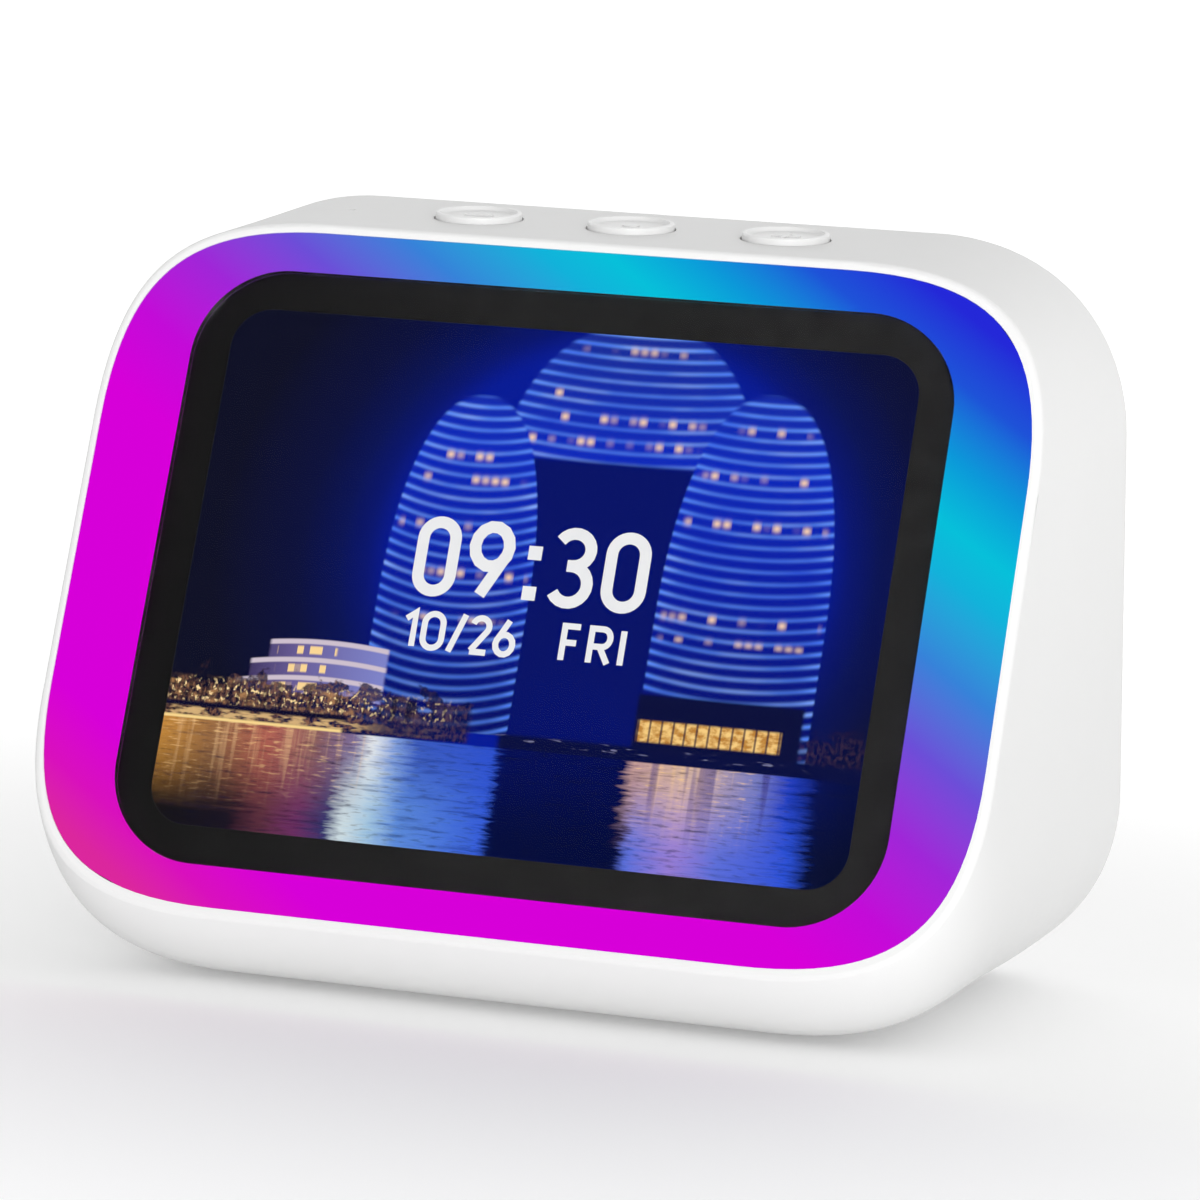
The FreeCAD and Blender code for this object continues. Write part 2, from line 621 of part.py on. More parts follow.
def lit_ring():
    """Diffuser flush with the glass, and the board of lamps behind it."""
    fit = "dims.fit_gap"
    thick = size("dims.diffuser_thick")
    slab = soft_slab("ring_slab", fit, "dims.diffuser_thick", shifted(FACE, z=-thick))
    hole = glass_shape("ring_hole", "dims.fit_gap", 6, -4)
    keep("light_ring", carve("ring_cut", slab, [hole]))
    board_z = foam_back()
    board = soft_slab("led_board_slab", "dims.fit_gap + dims.frame_wall + 0.2", "dims.led_board_thick",
                      shifted(FACE, z=board_z))
    inner = glass_shape("led_board_hole", "dims.bay_wall + 0.2", 4, board_z - 1)
    screws = [rod("led_board_screw%d" % number, THROUGH, 4,
                  shifted(FACE, x, y, board_z - 1))
              for number, (x, y) in enumerate(corners(POST_X, POST_Y))]
    keep("ring_led_board", carve("led_board_cut", board, [inner] + screws))
    lamps = [block("lamp%d" % number, "dims.led_size", "dims.led_size", "dims.led_tall",
                   shifted(FACE, x, y, board_z + size("dims.led_board_thick")))
             for number, (x, y) in enumerate(lamp_places())]
    keep("ring_leds", gather("lamps", lamps))


def lamp_places():
    """Rows of nine above and below the screen, four at each side and one in each corner."""
    places = [(7.5 * step, side * 36.9) for side in (1, -1) for step in range(-4, 5)]
    places += corners(49.6, 8.0) + corners(49.6, 23.5) + corners(44.4, 33.0)
    return places


def front_frame():
    """Moulded frame with a bay for the screen, a channel for the ring and posts for the main board."""
    floor = foam_back()
    wall_top = -size("dims.diffuser_thick")
    slab = soft_slab("frame_slab", "dims.fit_gap", "dims.frame_thick + %s" % (wall_top - floor),
                     shifted(FACE, z=frame_back()))
    bay = sheet_body("frame_bay", "dims.bay_width", "dims.bay_tall", "dims.bay_radius", 8,
                     shifted(FACE, z=floor))
    channel = soft_slab("frame_channel", "dims.fit_gap + dims.frame_wall", 8, shifted(FACE, z=floor))
    keep_wall = glass_shape("frame_bay_wall", "dims.bay_wall", 10, floor - 1)
    ring_room = carve("frame_ring_room", channel, [keep_wall])
    flex_slot = block("frame_flex_slot", 33, 3, 6, shifted(FACE, 0, -31.4, frame_back() - 2))
    cuts = [bay, ring_room, flex_slot]
    for number, (x, y) in enumerate(corners(POST_X, POST_Y)):
        cuts.append(rod("frame_screw_hole%d" % number, THROUGH, 6,
                        shifted(FACE, x, y, frame_back() - 2)))
    posts = [rod("board_post%d" % number, 2.4, "dims.board_stand",
                 shifted(FACE, x, y, board_front()))
             for number, (x, y) in enumerate(corners(BOARD_SCREW_X, BOARD_SCREW_Y))]
    for number, (x, y) in enumerate(corners(BOARD_SCREW_X, BOARD_SCREW_Y)):
        cuts.append(rod("board_pilot%d" % number, SMALL_PILOT, 4.6,
                        shifted(FACE, x, y, board_front() - 1)))
    keep("front_frame", carve("frame_cut", join("frame_solid", [slab] + posts), cuts))


# ---------------------------------------------------------------- electronics
BOARD_SCREW_X, BOARD_SCREW_Y = 34.5, 19.5


def board_front():
    return frame_back() - size("dims.board_stand")


def board_back():
    return board_front() - size("dims.board_thick")


def on_board(name, length, width, height, x, y):
    """Part soldered to the main board's rear, standing away from the screen."""
    return block(name, length, width, height, shifted(FACE, x, y, board_back() - size(height)))


def main_board():
    board = sheet_body("main_board", "dims.board_width", "dims.board_tall", 2, "dims.board_thick",
                       shifted(FACE, z=board_back()))
    holes(board, corners(BOARD_SCREW_X, BOARD_SCREW_Y), SMALL_THROUGH)
    keep("main_board", board)
    keep("processor_chip", on_board("processor_chip", 14, 14, 1.2, -8, 5))
    memory = [on_board("memory_chip%d" % number, 9, 11, 1.0, 5.5 + 10.5 * number, 5) for number in (0, 1)]
    keep("memory_chips", gather("memory", memory))
    keep("thermal_pad", block("thermal_pad", 12, 12, 1.2, shifted(FACE, -8, 5, board_back() - 2.4)))
    can = block("can_outside", 40, 19, 2.6, shifted(FACE, 3, 5, board_back() - 2.6))
    room = block("can_inside", 39.6, 18.6, 2.6, shifted(FACE, 3, 5, board_back() - 2.4))
    keep("shield_can", carve("can", can, [room]))
    keep("heat_spreader", sheet_body("heat_spreader", 44, 24, 2, 1.0,
                                     shifted(FACE, 3, 5, board_back() - 3.6)))
    keep("wifi_module", on_board("wifi_module", 12, 12, 1.8, -28, 8))
    places = ((0, -20.5, 32, 3.2), (14, -11, 5, 4), (-12, -12.5, 9, 5), (-22, 19, 8, 3.4))
    plugs = [on_board("board_plug%d" % number, length, width, 1.6 if number == 0 else 3.4, x, y)
             for number, (x, y, length, width) in enumerate(places)]
    slot = block("flex_entry", 30.4, 3, 0.5, shifted(FACE, 0, -22.0, board_back() - 1.05))
    plugs[0] = carve("flex_plug", plugs[0], [slot])
    keep("board_connectors", gather("plugs", plugs))
    cans = [rod("capacitor%d" % number, 2.4, 5.4,
                shifted(FACE, 28.5 + 5.5 * (number % 2), -1 - 6 * (number // 2), board_back() - 5.4))
            for number in range(4)]
    keep("board_capacitors", gather("capacitors", cans))
    keep("wifi_antenna", block("wifi_antenna", 34, 6, 0.4, shifted(FACE, 0, 29.5, frame_back() - 0.4)))


def screw(name, head_radius, head_tall, shank, length, frame):
    """Pan-head screw, its head on the frame's z = 0 and its shank running to -z."""
    head = rod(name + "_head", head_radius, head_tall, frame)
    stem = rod(name + "_shank", shank, length, shifted(frame, z=-length))
    return join(name, [head, stem])


def screws():
    """All fasteners, in two sizes."""
    turned_over = Placement(Vector(), Rotation(ABOUT_X, 180))
    large = [shifted(FACE, x, y, foam_back() + size("dims.led_board_thick"))
             for x, y in corners(POST_X, POST_Y)]
    large += [shifted(speaker_frame(), x, y, -10).multiply(turned_over) for x, y in corners(LUG_AT, LUG_AT)]
    keep("large_screws", gather("large", [screw("large_screw%d" % number, 2.0, 1.0, "dims.screw_radius",
                                                7.8, at) for number, at in enumerate(large)]))
    small = [shifted(FACE, x, y, board_back()).multiply(turned_over)
             for x, y in corners(BOARD_SCREW_X, BOARD_SCREW_Y)]
    for side in (-1, 1):
        at = top_frame(size("dims.button_shift") + side * size(KEY_POST_X))
        drop = shifted(at, z=-size("dims.key_board_deep + dims.key_board_thick"))
        small.append(drop.multiply(turned_over))
    small += [shifted(BASE, x, y, 1.1).multiply(turned_over) for x, y in PLATE_SCREWS]
    keep("small_screws", gather("small", [screw("small_screw%d" % number, 1.4, 0.8,
                                                "dims.small_screw_radius", 4.2, at)
                                          for number, at in enumerate(small)]))


# ---------------------------------------------------------------- buttons and microphone
BUTTONS = ("volume_down", "mic_mute", "volume_up")
FLANGE_TOP, FLANGE_LOW, POST_LOW = -2.3, -3.1, -5.0
BUTTON_POST = 1.8
MARK_LONG, MARK_WIDE, MARK_DOT = 3.4, 0.5, 1.0
PLUNGER_TALL = 1.6
EDGE_ROUND, MOUTH_ROUND, DISH_ROUND = 0.25, 0.15, 0.4


def softened(name, thing, frame, edges):
    """The same solid with circular edges about the frame's z rounded: (radius, height, rounding)."""
    back = frame.inverse()
    shape = thing.Shape
    for radius, height, rounding in edges:
        chosen = []
        for edge in shape.Edges:
            if not isinstance(edge.Curve, Part.Circle):
                continue
            centre = back.multVec(edge.Curve.Center)
            if abs(edge.Curve.Radius - size(radius)) < 0.01 and abs(centre.z - size(height)) < 0.01:
                chosen.append(edge)
        if not chosen:
            raise RuntimeError("%s has no edge of radius %s" % (name, radius))
        shape = shape.makeFillet(rounding, chosen)
    result = doc.addObject("Part::Feature", name)
    result.Shape = shape
    return result


def button_cap(name, frame):
    """Cap with a dish in its top, a flange below that keeps it in and a post over the switch."""
    edge, wide = "dims.button_radius", "dims.button_radius + dims.button_flange"
    mouth, floor = "dims.button_radius - dims.button_rim", "dims.button_proud - dims.button_dish"
    foot = mouth + " - dims.button_slope"
    blank = turned(name + "_blank", [
        (0, floor), (foot, floor), (mouth, "dims.button_proud"), (edge, "dims.button_proud"),
        (edge, FLANGE_TOP), (wide, FLANGE_TOP), (wide, FLANGE_LOW), (BUTTON_POST, FLANGE_LOW),
        (BUTTON_POST, POST_LOW), (0, POST_LOW)], frame)
    return softened(name + "_cap", blank, frame, [
        (edge, "dims.button_proud", EDGE_ROUND), (mouth, "dims.button_proud", MOUTH_ROUND),
        (foot, floor, DISH_ROUND)])


def buttons():
    """Three dished caps, each over a plunger in its own switch."""
    for number, name in enumerate(BUTTONS):
        at = top_frame(button_x(number))
        dish_at = shifted(at, z=size("dims.button_proud - dims.button_dish") - 0.1)
        bar = block(name + "_bar", MARK_LONG, MARK_WIDE, 0.25, dish_at)
        upright = block(name + "_upright", MARK_WIDE, MARK_LONG, 0.25, dish_at)
        dot = rod(name + "_dot", MARK_DOT, 0.25, dish_at)
        marks = {"volume_down": [bar], "mic_mute": [dot], "volume_up": [bar, upright]}[name]
        keep("button_" + name, join(name + "_button", [button_cap(name, at)] + marks))
        plunger_at = shifted(at, z=POST_LOW - PLUNGER_TALL)
        keep("plunger_" + name, rod("plunger_" + name, "dims.stem_radius", PLUNGER_TALL, plunger_at))


def key_board():
    middle = top_frame(size("dims.button_shift"))
    deep = size("dims.key_board_deep")
    board = block("key_board_blank", 52, 8, "dims.key_board_thick",
                  shifted(middle, z=-deep - size("dims.key_board_thick")))
    screw_holes = [rod("key_board_hole%d" % number, SMALL_THROUGH, 4,
                       shifted(middle, side * size(KEY_POST_X), 0, -deep - 2))
                   for number, side in enumerate((-1, 1))]
    keep("key_board", carve("key_board_cut", board, screw_holes))
    switches = []
    for number, name in enumerate(BUTTONS):
        at = top_frame(button_x(number))
        case = block(name + "_case", 6, 6, 2.6, shifted(at, z=-deep))
        guide = rod(name + "_guide", "dims.stem_radius + dims.stem_gap", 2.6, shifted(at, z=-deep + 0.9))
        switches.append(carve(name + "_switch", case, [guide]))
    keep("key_switches", gather("switches", switches))


def microphone():
    at = top_frame(size("dims.mic_x"))
    keep("mic_gasket", turned("mic_gasket", [(0.8, -3.0), (3.0, -3.0), (3.0, -2.15), (0.8, -2.15)], at))
    board = block("mic_board_blank", 9, 7, 0.8, shifted(at, z=-3.8))
    sound_hole = rod("mic_board_hole", "dims.mic_radius", 2, shifted(at, z=-4.5))
    keep("mic_board", carve("mic_board_cut", board, [sound_hole]))
    keep("mic_capsule", block("mic_capsule", 3.8, 3.0, 1.0, shifted(at, z=-4.8)))


# ---------------------------------------------------------------- loudspeaker
def loudspeaker():
    """Grille, driver and closed box, all turned about the speaker's axis."""
    at = speaker_frame()
    rim, flange = "dims.grille_radius", "dims.grille_radius + 2.7"
    grille = turned("rear_grille", [
        (0, -0.5), (rim + " - 0.3", -0.5), (rim, -0.8), (rim, -2.05), (flange, -2.05), (flange, -2.8),
        (21.0, -2.8), (21.0, -1.7), (0, -1.7)], at)
    perforate(grille)
    keep("rear_grille", grille)
    keep("speaker_gasket", turned("speaker_gasket", [(21.6, -3.6), (24.6, -3.6), (24.6, -2.8),
                                                     (21.6, -2.8)], at))
    keep("speaker_basket", turned("speaker_basket", [
        (21.6, -3.6), (24.4, -3.6), (24.4, -4.6), (22.9, -4.6), (14.9, -12.4), (14.9, -13.2),
        (8.0, -13.2), (8.0, -12.3), (13.7, -12.3), (21.6, -4.8)], at))
    keep("speaker_top_plate", turned("speaker_top_plate", [(6.7, -14.4), (12.5, -14.4), (12.5, -13.2),
                                                           (6.7, -13.2)], at))
    keep("speaker_magnet", turned("speaker_magnet", [(8.0, -18.0), (13.2, -18.0), (13.2, -14.4),
                                                     (8.0, -14.4)], at))
    keep("speaker_yoke", turned("speaker_yoke", [(0, -19.2), (12.5, -19.2), (12.5, -18.0), (5.4, -18.0),
                                                 (5.4, -13.2), (0, -13.2)], at))
    keep("voice_coil", turned("voice_coil", [(5.8, -16.4), (6.2, -16.4), (6.2, -10.0), (5.8, -10.0)], at))
    keep("speaker_cone", turned("speaker_cone", [(5.8, -10.0), (6.2, -10.0), (18.2, -5.6), (18.2, -5.0),
                                                 (5.8, -9.5)], at))
    keep("dust_cap", turned("dust_cap", [(0, -7.3), (3.4, -7.6), (5.6, -8.3), (6.9, -8.95), (6.5, -9.1),
                                         (5.5, -8.65), (3.3, -7.95), (0, -7.65)], at))
    keep("speaker_surround", turned("speaker_surround", [
        (18.3, -5.5), (18.7, -4.9), (19.4, -4.3), (20.3, -4.3), (21.0, -4.7), (21.5, -4.7),
        (21.5, -4.2), (21.0, -4.2), (20.3, -3.8), (19.4, -3.8), (18.7, -4.3), (18.3, -5.0)], at))
    keep("speaker_spider", turned("speaker_spider", [
        (6.3, -11.6), (8.2, -11.3), (10.1, -11.6), (12.0, -11.3), (14.2, -11.6), (14.2, -11.3),
        (12.0, -11.0), (10.1, -11.3), (8.2, -11.0), (6.3, -11.3)], at))
    cup = turned("speaker_cup", [(25.3, -2.9), (26.9, -2.9), (26.9, -21.5), (0, -21.5), (0, -20.0),
                                 (23.4, -20.0), (23.4, -4.6), (25.3, -4.6)], at)
    lugs, lug_holes = [], []
    for number, (x, y) in enumerate(corners(LUG_AT, LUG_AT)):
        lugs.append(rod("box_lug%d" % number, 3.2, 2, shifted(at, x, y, -10)))
        inner = 0.9
        lugs.append(rod("box_lug_root%d" % number, 3.2, 2, shifted(at, x * inner, y * inner, -10)))
        lug_holes.append(rod("box_lug_hole%d" % number, THROUGH, 4,
                             shifted(at, x, y, -11)))
    room = rod("box_room", 23.4, 15.4, shifted(at, z=-20))
    keep("speaker_box", carve("box_cut", join("box_solid", [cup] + lugs), lug_holes + [room]))


def perforate(body):
    """Rings of round holes, six more in each ring than in the last."""
    middle = new_sketch(body, "XY_Plane", "grille_middle")
    draw_circles(middle, [(0, 0)], "dims.grille_hole")
    pocket(body, "grille_middle_cut", middle, downwards=True)
    for ring in range(1, 7):
        sketch = new_sketch(body, "XY_Plane", "grille_ring%d" % ring)
        draw_circles(sketch, [("dims.grille_pitch * %d" % ring, 0)], "dims.grille_hole")
        cut = pocket(body, "grille_cut%d" % ring, sketch, downwards=True)
        pattern = body.newObject("PartDesign::PolarPattern", "grille_turn%d" % ring)
        pattern.Originals = [cut]
        pattern.Axis = (sketch, ["N_Axis"])
        pattern.Angle = 360
        pattern.Occurrences = 6 * ring
        body.Tip = pattern
        doc.recompute()


# ---------------------------------------------------------------- power, base and wires
def power_inlet():
    at = back_frame(size("dims.jack_up"))
    case = block("socket_case", 9, 9, 12.8, shifted(at, z=-15))
    nose = rod("socket_nose", "dims.jack_hole - 0.15", 2.0, shifted(at, z=-2.4))
    bore = rod("socket_bore", 2.75, 11, shifted(at, z=-11))
    keep("power_socket", carve("socket_cut", join("socket_solid", [case, nose]), [bore]))
    keep("power_pin", rod("power_pin", 1.0, 9, shifted(at, z=-11)))
    keep("power_board", block("power_board", 18, 1.2, 13, shifted(at, y=5.2, z=-16)))


def base():
    plate = sheet_body("base_plate", "dims.plate_width - 2 * dims.fit_gap",
                       "dims.plate_deep - 2 * dims.fit_gap", "dims.plate_radius - dims.fit_gap",
                       "dims.plate_thick", BASE)
    holes(plate, PLATE_SCREWS, SMALL_THROUGH)
    heads = [rod("head_room%d" % number, 1.7, 2.1, shifted(BASE, x, y, -1))
             for number, (x, y) in enumerate(PLATE_SCREWS)]
    grooved = carve("base_groove", plate, [foot_ring("groove", 0.15, 2, -1.4)] + heads)
    keep("base_plate", grooved)
    keep("rubber_foot", foot_ring("foot", 0.0, "0.55 + dims.foot_proud", -size("dims.foot_proud")))


def foot_ring(name, grow, tall, low):
    """Rounded ring under the base, 'grow' wider on each side, from 'low' upwards."""
    ring = sheet_body(name + "_outer", 58 + 2 * grow, 34 + 2 * grow, 9 + grow, tall, shifted(BASE, z=low))
    hole = sheet_body(name + "_inner", 48 - 2 * grow, 24 - 2 * grow, 4.5 - grow, 6, shifted(BASE, z=-3))
    return carve(name + "_ring", ring, [hole])


def wire_run(name, points, x, radius):
    """Round wire in the plane at x, through side-view points, its corners rounded."""
    path = []
    places = [Vector(x, RING_Y + y, size("dims.foot_proud") + z) for y, z in points]
    start = places[0]
    for here, corner, following in zip(places, places[1:], places[2:]):
        inward, onward = (here - corner), (following - corner)
        trim = 0.45 * min(inward.Length, onward.Length)
        enter, leave = corner + inward.normalize() * trim, corner + onward.normalize() * trim
        bisector = (inward + onward).normalize()
        half = inward.getAngle(onward) / 2
        bend = trim * math.tan(half)
        middle = corner + bisector * (bend / math.sin(half) - bend)
        path += [Part.LineSegment(start, enter).toShape(), Part.Arc(enter, middle, leave).toShape()]
        start = leave
    path.append(Part.LineSegment(start, places[-1]).toShape())
    section = Part.Wire(Part.makeCircle(radius, places[0], places[0] - places[1]))
    tube = doc.addObject("Part::Feature", name)
    tube.Shape = Part.Wire(path).makePipeShell([section], True, False)
    return tube


def wires():
    """Pairs of insulated wires from the main board to the socket, the speaker and the keys."""
    runs = {
        "power_wires": ((43.0, 8.2), (26.0, 8.6), (14.0, 21.9), -13.4, 0.7),
        "speaker_wires": ((33.0, 34.0), (24.0, 31.5), (15.2, 30.4), 13.0, 0.6),
        "key_wires": ((28.4, 75.0), (28.0, 67.0), (23.6, 60.5), -23.0, 0.45),
    }
    for name, (start, bend, end, x, radius) in runs.items():
        pair = [wire_run("%s%d" % (name, number), (start, bend, end), x + number * 2.6 * radius, radius)
                for number in (0, 1)]
        keep(name, gather(name + "_pair", pair))


# ---------------------------------------------------------------- build, check and write
keep("main_housing", housing_body())
front_frame()
screen_stack()
display_flex()
lit_ring()
main_board()
buttons()
key_board()
microphone()
loudspeaker()
power_inlet()
base()
wires()
screws()
doc.removeObject(probe.Name)
doc.recompute()

for thing in doc.Objects:
    if {"Invalid", "Error"} & set(thing.State):
        raise RuntimeError("%s did not compute: %s" % (thing.Name, thing.State))
os.makedirs("parts", exist_ok=True)
for label, thing in NODES.items():
    if thing.Shape.isNull() or not thing.Shape.isValid() or not thing.Shape.Solids:
        raise RuntimeError("%s is not a valid solid" % label)
    thing.Shape.exportStep("parts/%s.step" % label)
    print("%-22s %2d solids %10.2f mm3" % (label, len(thing.Shape.Solids), thing.Shape.Volume))
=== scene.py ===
"""Looks for the desktop smart display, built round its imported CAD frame. Metres, +Z up."""
import json
import math

import bmesh
import bpy
from mathutils import Matrix, Vector


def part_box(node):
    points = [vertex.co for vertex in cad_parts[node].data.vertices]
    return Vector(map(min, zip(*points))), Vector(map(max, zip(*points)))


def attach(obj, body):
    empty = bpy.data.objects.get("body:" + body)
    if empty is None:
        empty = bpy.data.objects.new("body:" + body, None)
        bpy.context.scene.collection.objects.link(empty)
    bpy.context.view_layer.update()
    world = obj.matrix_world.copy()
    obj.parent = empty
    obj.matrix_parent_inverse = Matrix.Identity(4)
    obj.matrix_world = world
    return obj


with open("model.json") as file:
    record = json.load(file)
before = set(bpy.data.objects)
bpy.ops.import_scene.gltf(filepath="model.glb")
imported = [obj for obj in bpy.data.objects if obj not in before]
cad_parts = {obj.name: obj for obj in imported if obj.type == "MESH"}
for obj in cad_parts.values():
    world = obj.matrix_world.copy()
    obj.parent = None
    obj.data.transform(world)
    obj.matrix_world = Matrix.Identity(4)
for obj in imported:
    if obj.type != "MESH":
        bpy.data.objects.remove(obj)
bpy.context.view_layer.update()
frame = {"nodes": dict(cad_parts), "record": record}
NODES = frame["nodes"]
MM = 0.001

# ---------------------------------------------------------------- frames of reference
FACE_TILT = math.radians(20)          # lean of the screen
BACK_LEAN = math.radians(11.1)        # forward lean of the back


def box_centre(node):
    low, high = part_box(node)
    return (Vector(low) + Vector(high)) / 2


def about_x(origin, turn):
    """Frame at origin, turned about X."""
    return Matrix.Translation(origin) @ Matrix.Rotation(turn, 4, "X")


def face_frame():
    """x right, y up the screen, z out of it, zero at the front of the glass."""
    glass = NODES["cover_glass"].data.vertices
    normal = Vector((0, -math.cos(FACE_TILT), math.sin(FACE_TILT)))
    middle = box_centre("cover_glass")
    front = max((vertex.co - middle).dot(normal) for vertex in glass)
    return about_x(middle + normal * front, math.pi / 2 - FACE_TILT)


FACE = face_frame()

# ---------------------------------------------------------------- camera, lights and floor
VIEW_AZIMUTH, VIEW_ELEVATION, VIEW_ROLL = (math.radians(a) for a in (18.15, 6.40, 3.05))
VIEW_DISTANCE = 0.627
AIM = Vector((7.5, 2.7, -0.8)) * MM   # where the camera looks, from the middle of the screen
LENS, SENSOR = 169.5, 36.0            # millimetres
SKY_LEVEL = 1.03
KEY_PLACE, KEY_AIM = Vector((0.52, -1.07, 0.15)), Vector((0, 0, 0.045))
KEY_WIDTH, KEY_TALL, KEY_POWER = 0.5, 0.27, 8.1
FLOOR_SIZE = 80                       # metres across, so that its edge is past the horizon
# Sides of the room: which way, from and to what share of that way, and how much darker (or,
# below zero, paler).
SHADED_WAYS = (((-0.4, -0.42, 0.8), 0.15, 0.95, 0.45),
               ((1.0, 0.1, 0.0), 0.3, 0.95, 0.3),
               ((-0.3, 0.92, 0.2), 0.5, 1.0, -0.5))
# Near the object the paper is darker and glows less: a painted contact shadow round it.
PAPER_IN_PAINTED_SHADOW, PAPER_FAR = (0.88, 0.88, 0.88), (0.93, 0.93, 0.93)
LIT_NEAR, LIT_FAR = 0.12, 0.34        # the floor's own light, near the object and far from it
LIT_FROM, LIT_TO = 0.05, 0.3          # where the one turns into the other, from the origin


def make_camera():
    """A long lens, a little above the table and to the right, and not quite level."""
    flat_right = Vector((math.cos(VIEW_AZIMUTH), math.sin(VIEW_AZIMUTH), 0))
    forward = Vector((-math.sin(VIEW_AZIMUTH) * math.cos(VIEW_ELEVATION),
                      math.cos(VIEW_AZIMUTH) * math.cos(VIEW_ELEVATION), -math.sin(VIEW_ELEVATION)))
    flat_up = flat_right.cross(forward)
    right = flat_right * math.cos(VIEW_ROLL) + flat_up * math.sin(VIEW_ROLL)
    up = flat_up * math.cos(VIEW_ROLL) - flat_right * math.sin(VIEW_ROLL)
    data = bpy.data.cameras.new("camera")
    data.lens, data.sensor_width = LENS, SENSOR
    data.clip_start, data.clip_end = 0.01, 200
    camera = bpy.data.objects.new("camera", data)
    bpy.context.scene.collection.objects.link(camera)
    turn = Matrix((right, up, -forward)).transposed().to_4x4()
    place = FACE.translation + AIM - forward * VIEW_DISTANCE
    camera.matrix_world = Matrix.Translation(place) @ turn
    bpy.context.scene.camera = camera


def make_key_light():
    """A wide soft box low on the right."""
    data = bpy.data.lights.new("key", "AREA")
    data.shape, data.size, data.size_y = "RECTANGLE", KEY_WIDTH, KEY_TALL
    data.energy = KEY_POWER
    light = bpy.data.objects.new("key", data)
    bpy.context.scene.collection.objects.link(light)
    light.location = KEY_PLACE
    light.rotation_euler = (KEY_AIM - KEY_PLACE).to_track_quat("-Z", "Y").to_euler()


def make_room():
    """An even white room, with some sides paler or darker."""
    world = bpy.data.worlds.new("studio")
    sky = Shader("studio", world)
    direction = sky.node("TexCoord").outputs["Generated"]
    level = SKY_LEVEL
    for way, start, end, depth in SHADED_WAYS:
        towards = sky.node("VectorMath", {0: direction, 1: tuple(Vector(way).normalized())},
                           operation="DOT_PRODUCT").outputs["Value"]
        level = (Field(sky, towards).rise(start, end) * -depth + 1) * level
    sky.finish(sky.node("Background", {"Color": (1, 1, 1), "Strength": level}).outputs[0])
    bpy.context.scene.world = world


def make_floor():
    """White paper, glowing a little more towards the horizon, so that no edge shows there, and darker and
    glowing less near the object, as a painted contact shadow round it.
    """
    bpy.ops.mesh.primitive_plane_add(size=FLOOR_SIZE)
    floor = bpy.context.object
    floor.name = "floor"
    paper = Shader("floor_paper")
    place = paper.node("TexCoord").outputs["Object"]
    away = Field(paper, paper.node("VectorMath", {0: place}, operation="LENGTH").outputs["Value"])
    # Zero near the object, where the paper takes the painted contact shadow; one far from it.
    far = away.rise(LIT_FROM, LIT_TO)
    floor.data.materials.append(paper.finish(principled(
        paper, Base_Color=paper.mix(far, PAPER_IN_PAINTED_SHADOW, PAPER_FAR), Roughness=0.9, Specular_IOR_Level=0.2,
        Emission_Color=(1, 1, 1), Emission_Strength=far * (LIT_FAR - LIT_NEAR) + LIT_NEAR)))


# ---------------------------------------------------------------- materials
def linear(red, green, blue):
    """A display colour, 0 to 255, as linear light."""
    return tuple((c / 255 / 12.92) if c < 10.3 else ((c / 255 + 0.055) / 1.055) ** 2.4
                 for c in (red, green, blue))


class Shader:
    """A node material under construction."""

    def __init__(self, name, world=None):
        self.material = world or bpy.data.materials.new(name)
        self.material.use_nodes = True
        self.tree = self.material.node_tree
        self.tree.nodes.clear()
        self.output = self.tree.nodes.new("ShaderNodeOutputWorld" if world else "ShaderNodeOutputMaterial")

    def node(self, kind, inputs=None, **settings):
        made = self.tree.nodes.new("ShaderNode" + kind)
        for name, value in settings.items():
            setattr(made, name, value)
        for name, value in (inputs or {}).items():
            self.feed(made.inputs[name], value)
        return made

    def feed(self, socket, value):
        value = value.socket if isinstance(value, Field) else value
        if isinstance(value, bpy.types.NodeSocket):
            self.tree.links.new(value, socket)
        elif isinstance(value, tuple) and len(value) == 3 and socket.type == "RGBA":
            socket.default_value = (*value, 1)
        else:
            socket.default_value = value

    def math(self, operation, *values):
        made = self.node("Math", operation=operation)
        for socket, value in zip(made.inputs, values):
            self.feed(socket, value)
        return made.outputs[0]

    def mix(self, factor, first, second):
        """Colour between first and second."""
        made = self.node("Mix", data_type="RGBA")
        for socket, value in ((made.inputs[0], factor), (made.inputs[6], first), (made.inputs[7], second)):
            self.feed(socket, value)
        return made.outputs[2]

    def ramp(self, factor, stops):
        """Colour from a list of (place, colour)."""
        made = self.node("ValToRGB", {"Fac": factor})
        elements = made.color_ramp.elements
        while len(elements) < len(stops):
            elements.new(0.5)
        for element, (place, colour) in zip(elements, stops):
            element.position, element.color = place, (*colour, 1)
        return made.outputs["Color"]

    def noise(self, scale, detail=2.0, stretch=(1, 1, 1)):
        where = self.node("TexCoord").outputs["Object"]
        mapped = self.node("Mapping", {"Vector": where, "Scale": stretch})
        made = self.node("TexNoise", {"Vector": mapped.outputs[0], "Scale": scale, "Detail": detail})
        return made.outputs["Fac"]

    def bump(self, height, strength, distance):
        made = self.node("Bump", {"Height": height, "Strength": strength, "Distance": distance})
        return made.outputs["Normal"]

    def finish(self, surface):
        self.tree.links.new(surface, self.output.inputs["Surface"])
        return self.material


def principled(shader, **inputs):
    named = {name.replace("_", " "): value for name, value in inputs.items()}
    return shader.node("BsdfPrincipled", named).outputs["BSDF"]


def lit(shader, colour):
    """Finish as a surface that shines with the colour and reflects nothing."""
    return shader.finish(principled(shader, Base_Color=(0, 0, 0), Roughness=0.6, Specular_IOR_Level=0.0,
                                    Emission_Color=colour, Emission_Strength=1.0))


MOTTLING_SCALE, GLOSS_SCALE = 45, 220             # patches in a metre
GRAIN_DEEP, BRUSHING_DEEP, PORES_DEEP = 0.00003, 0.00002, 0.00004


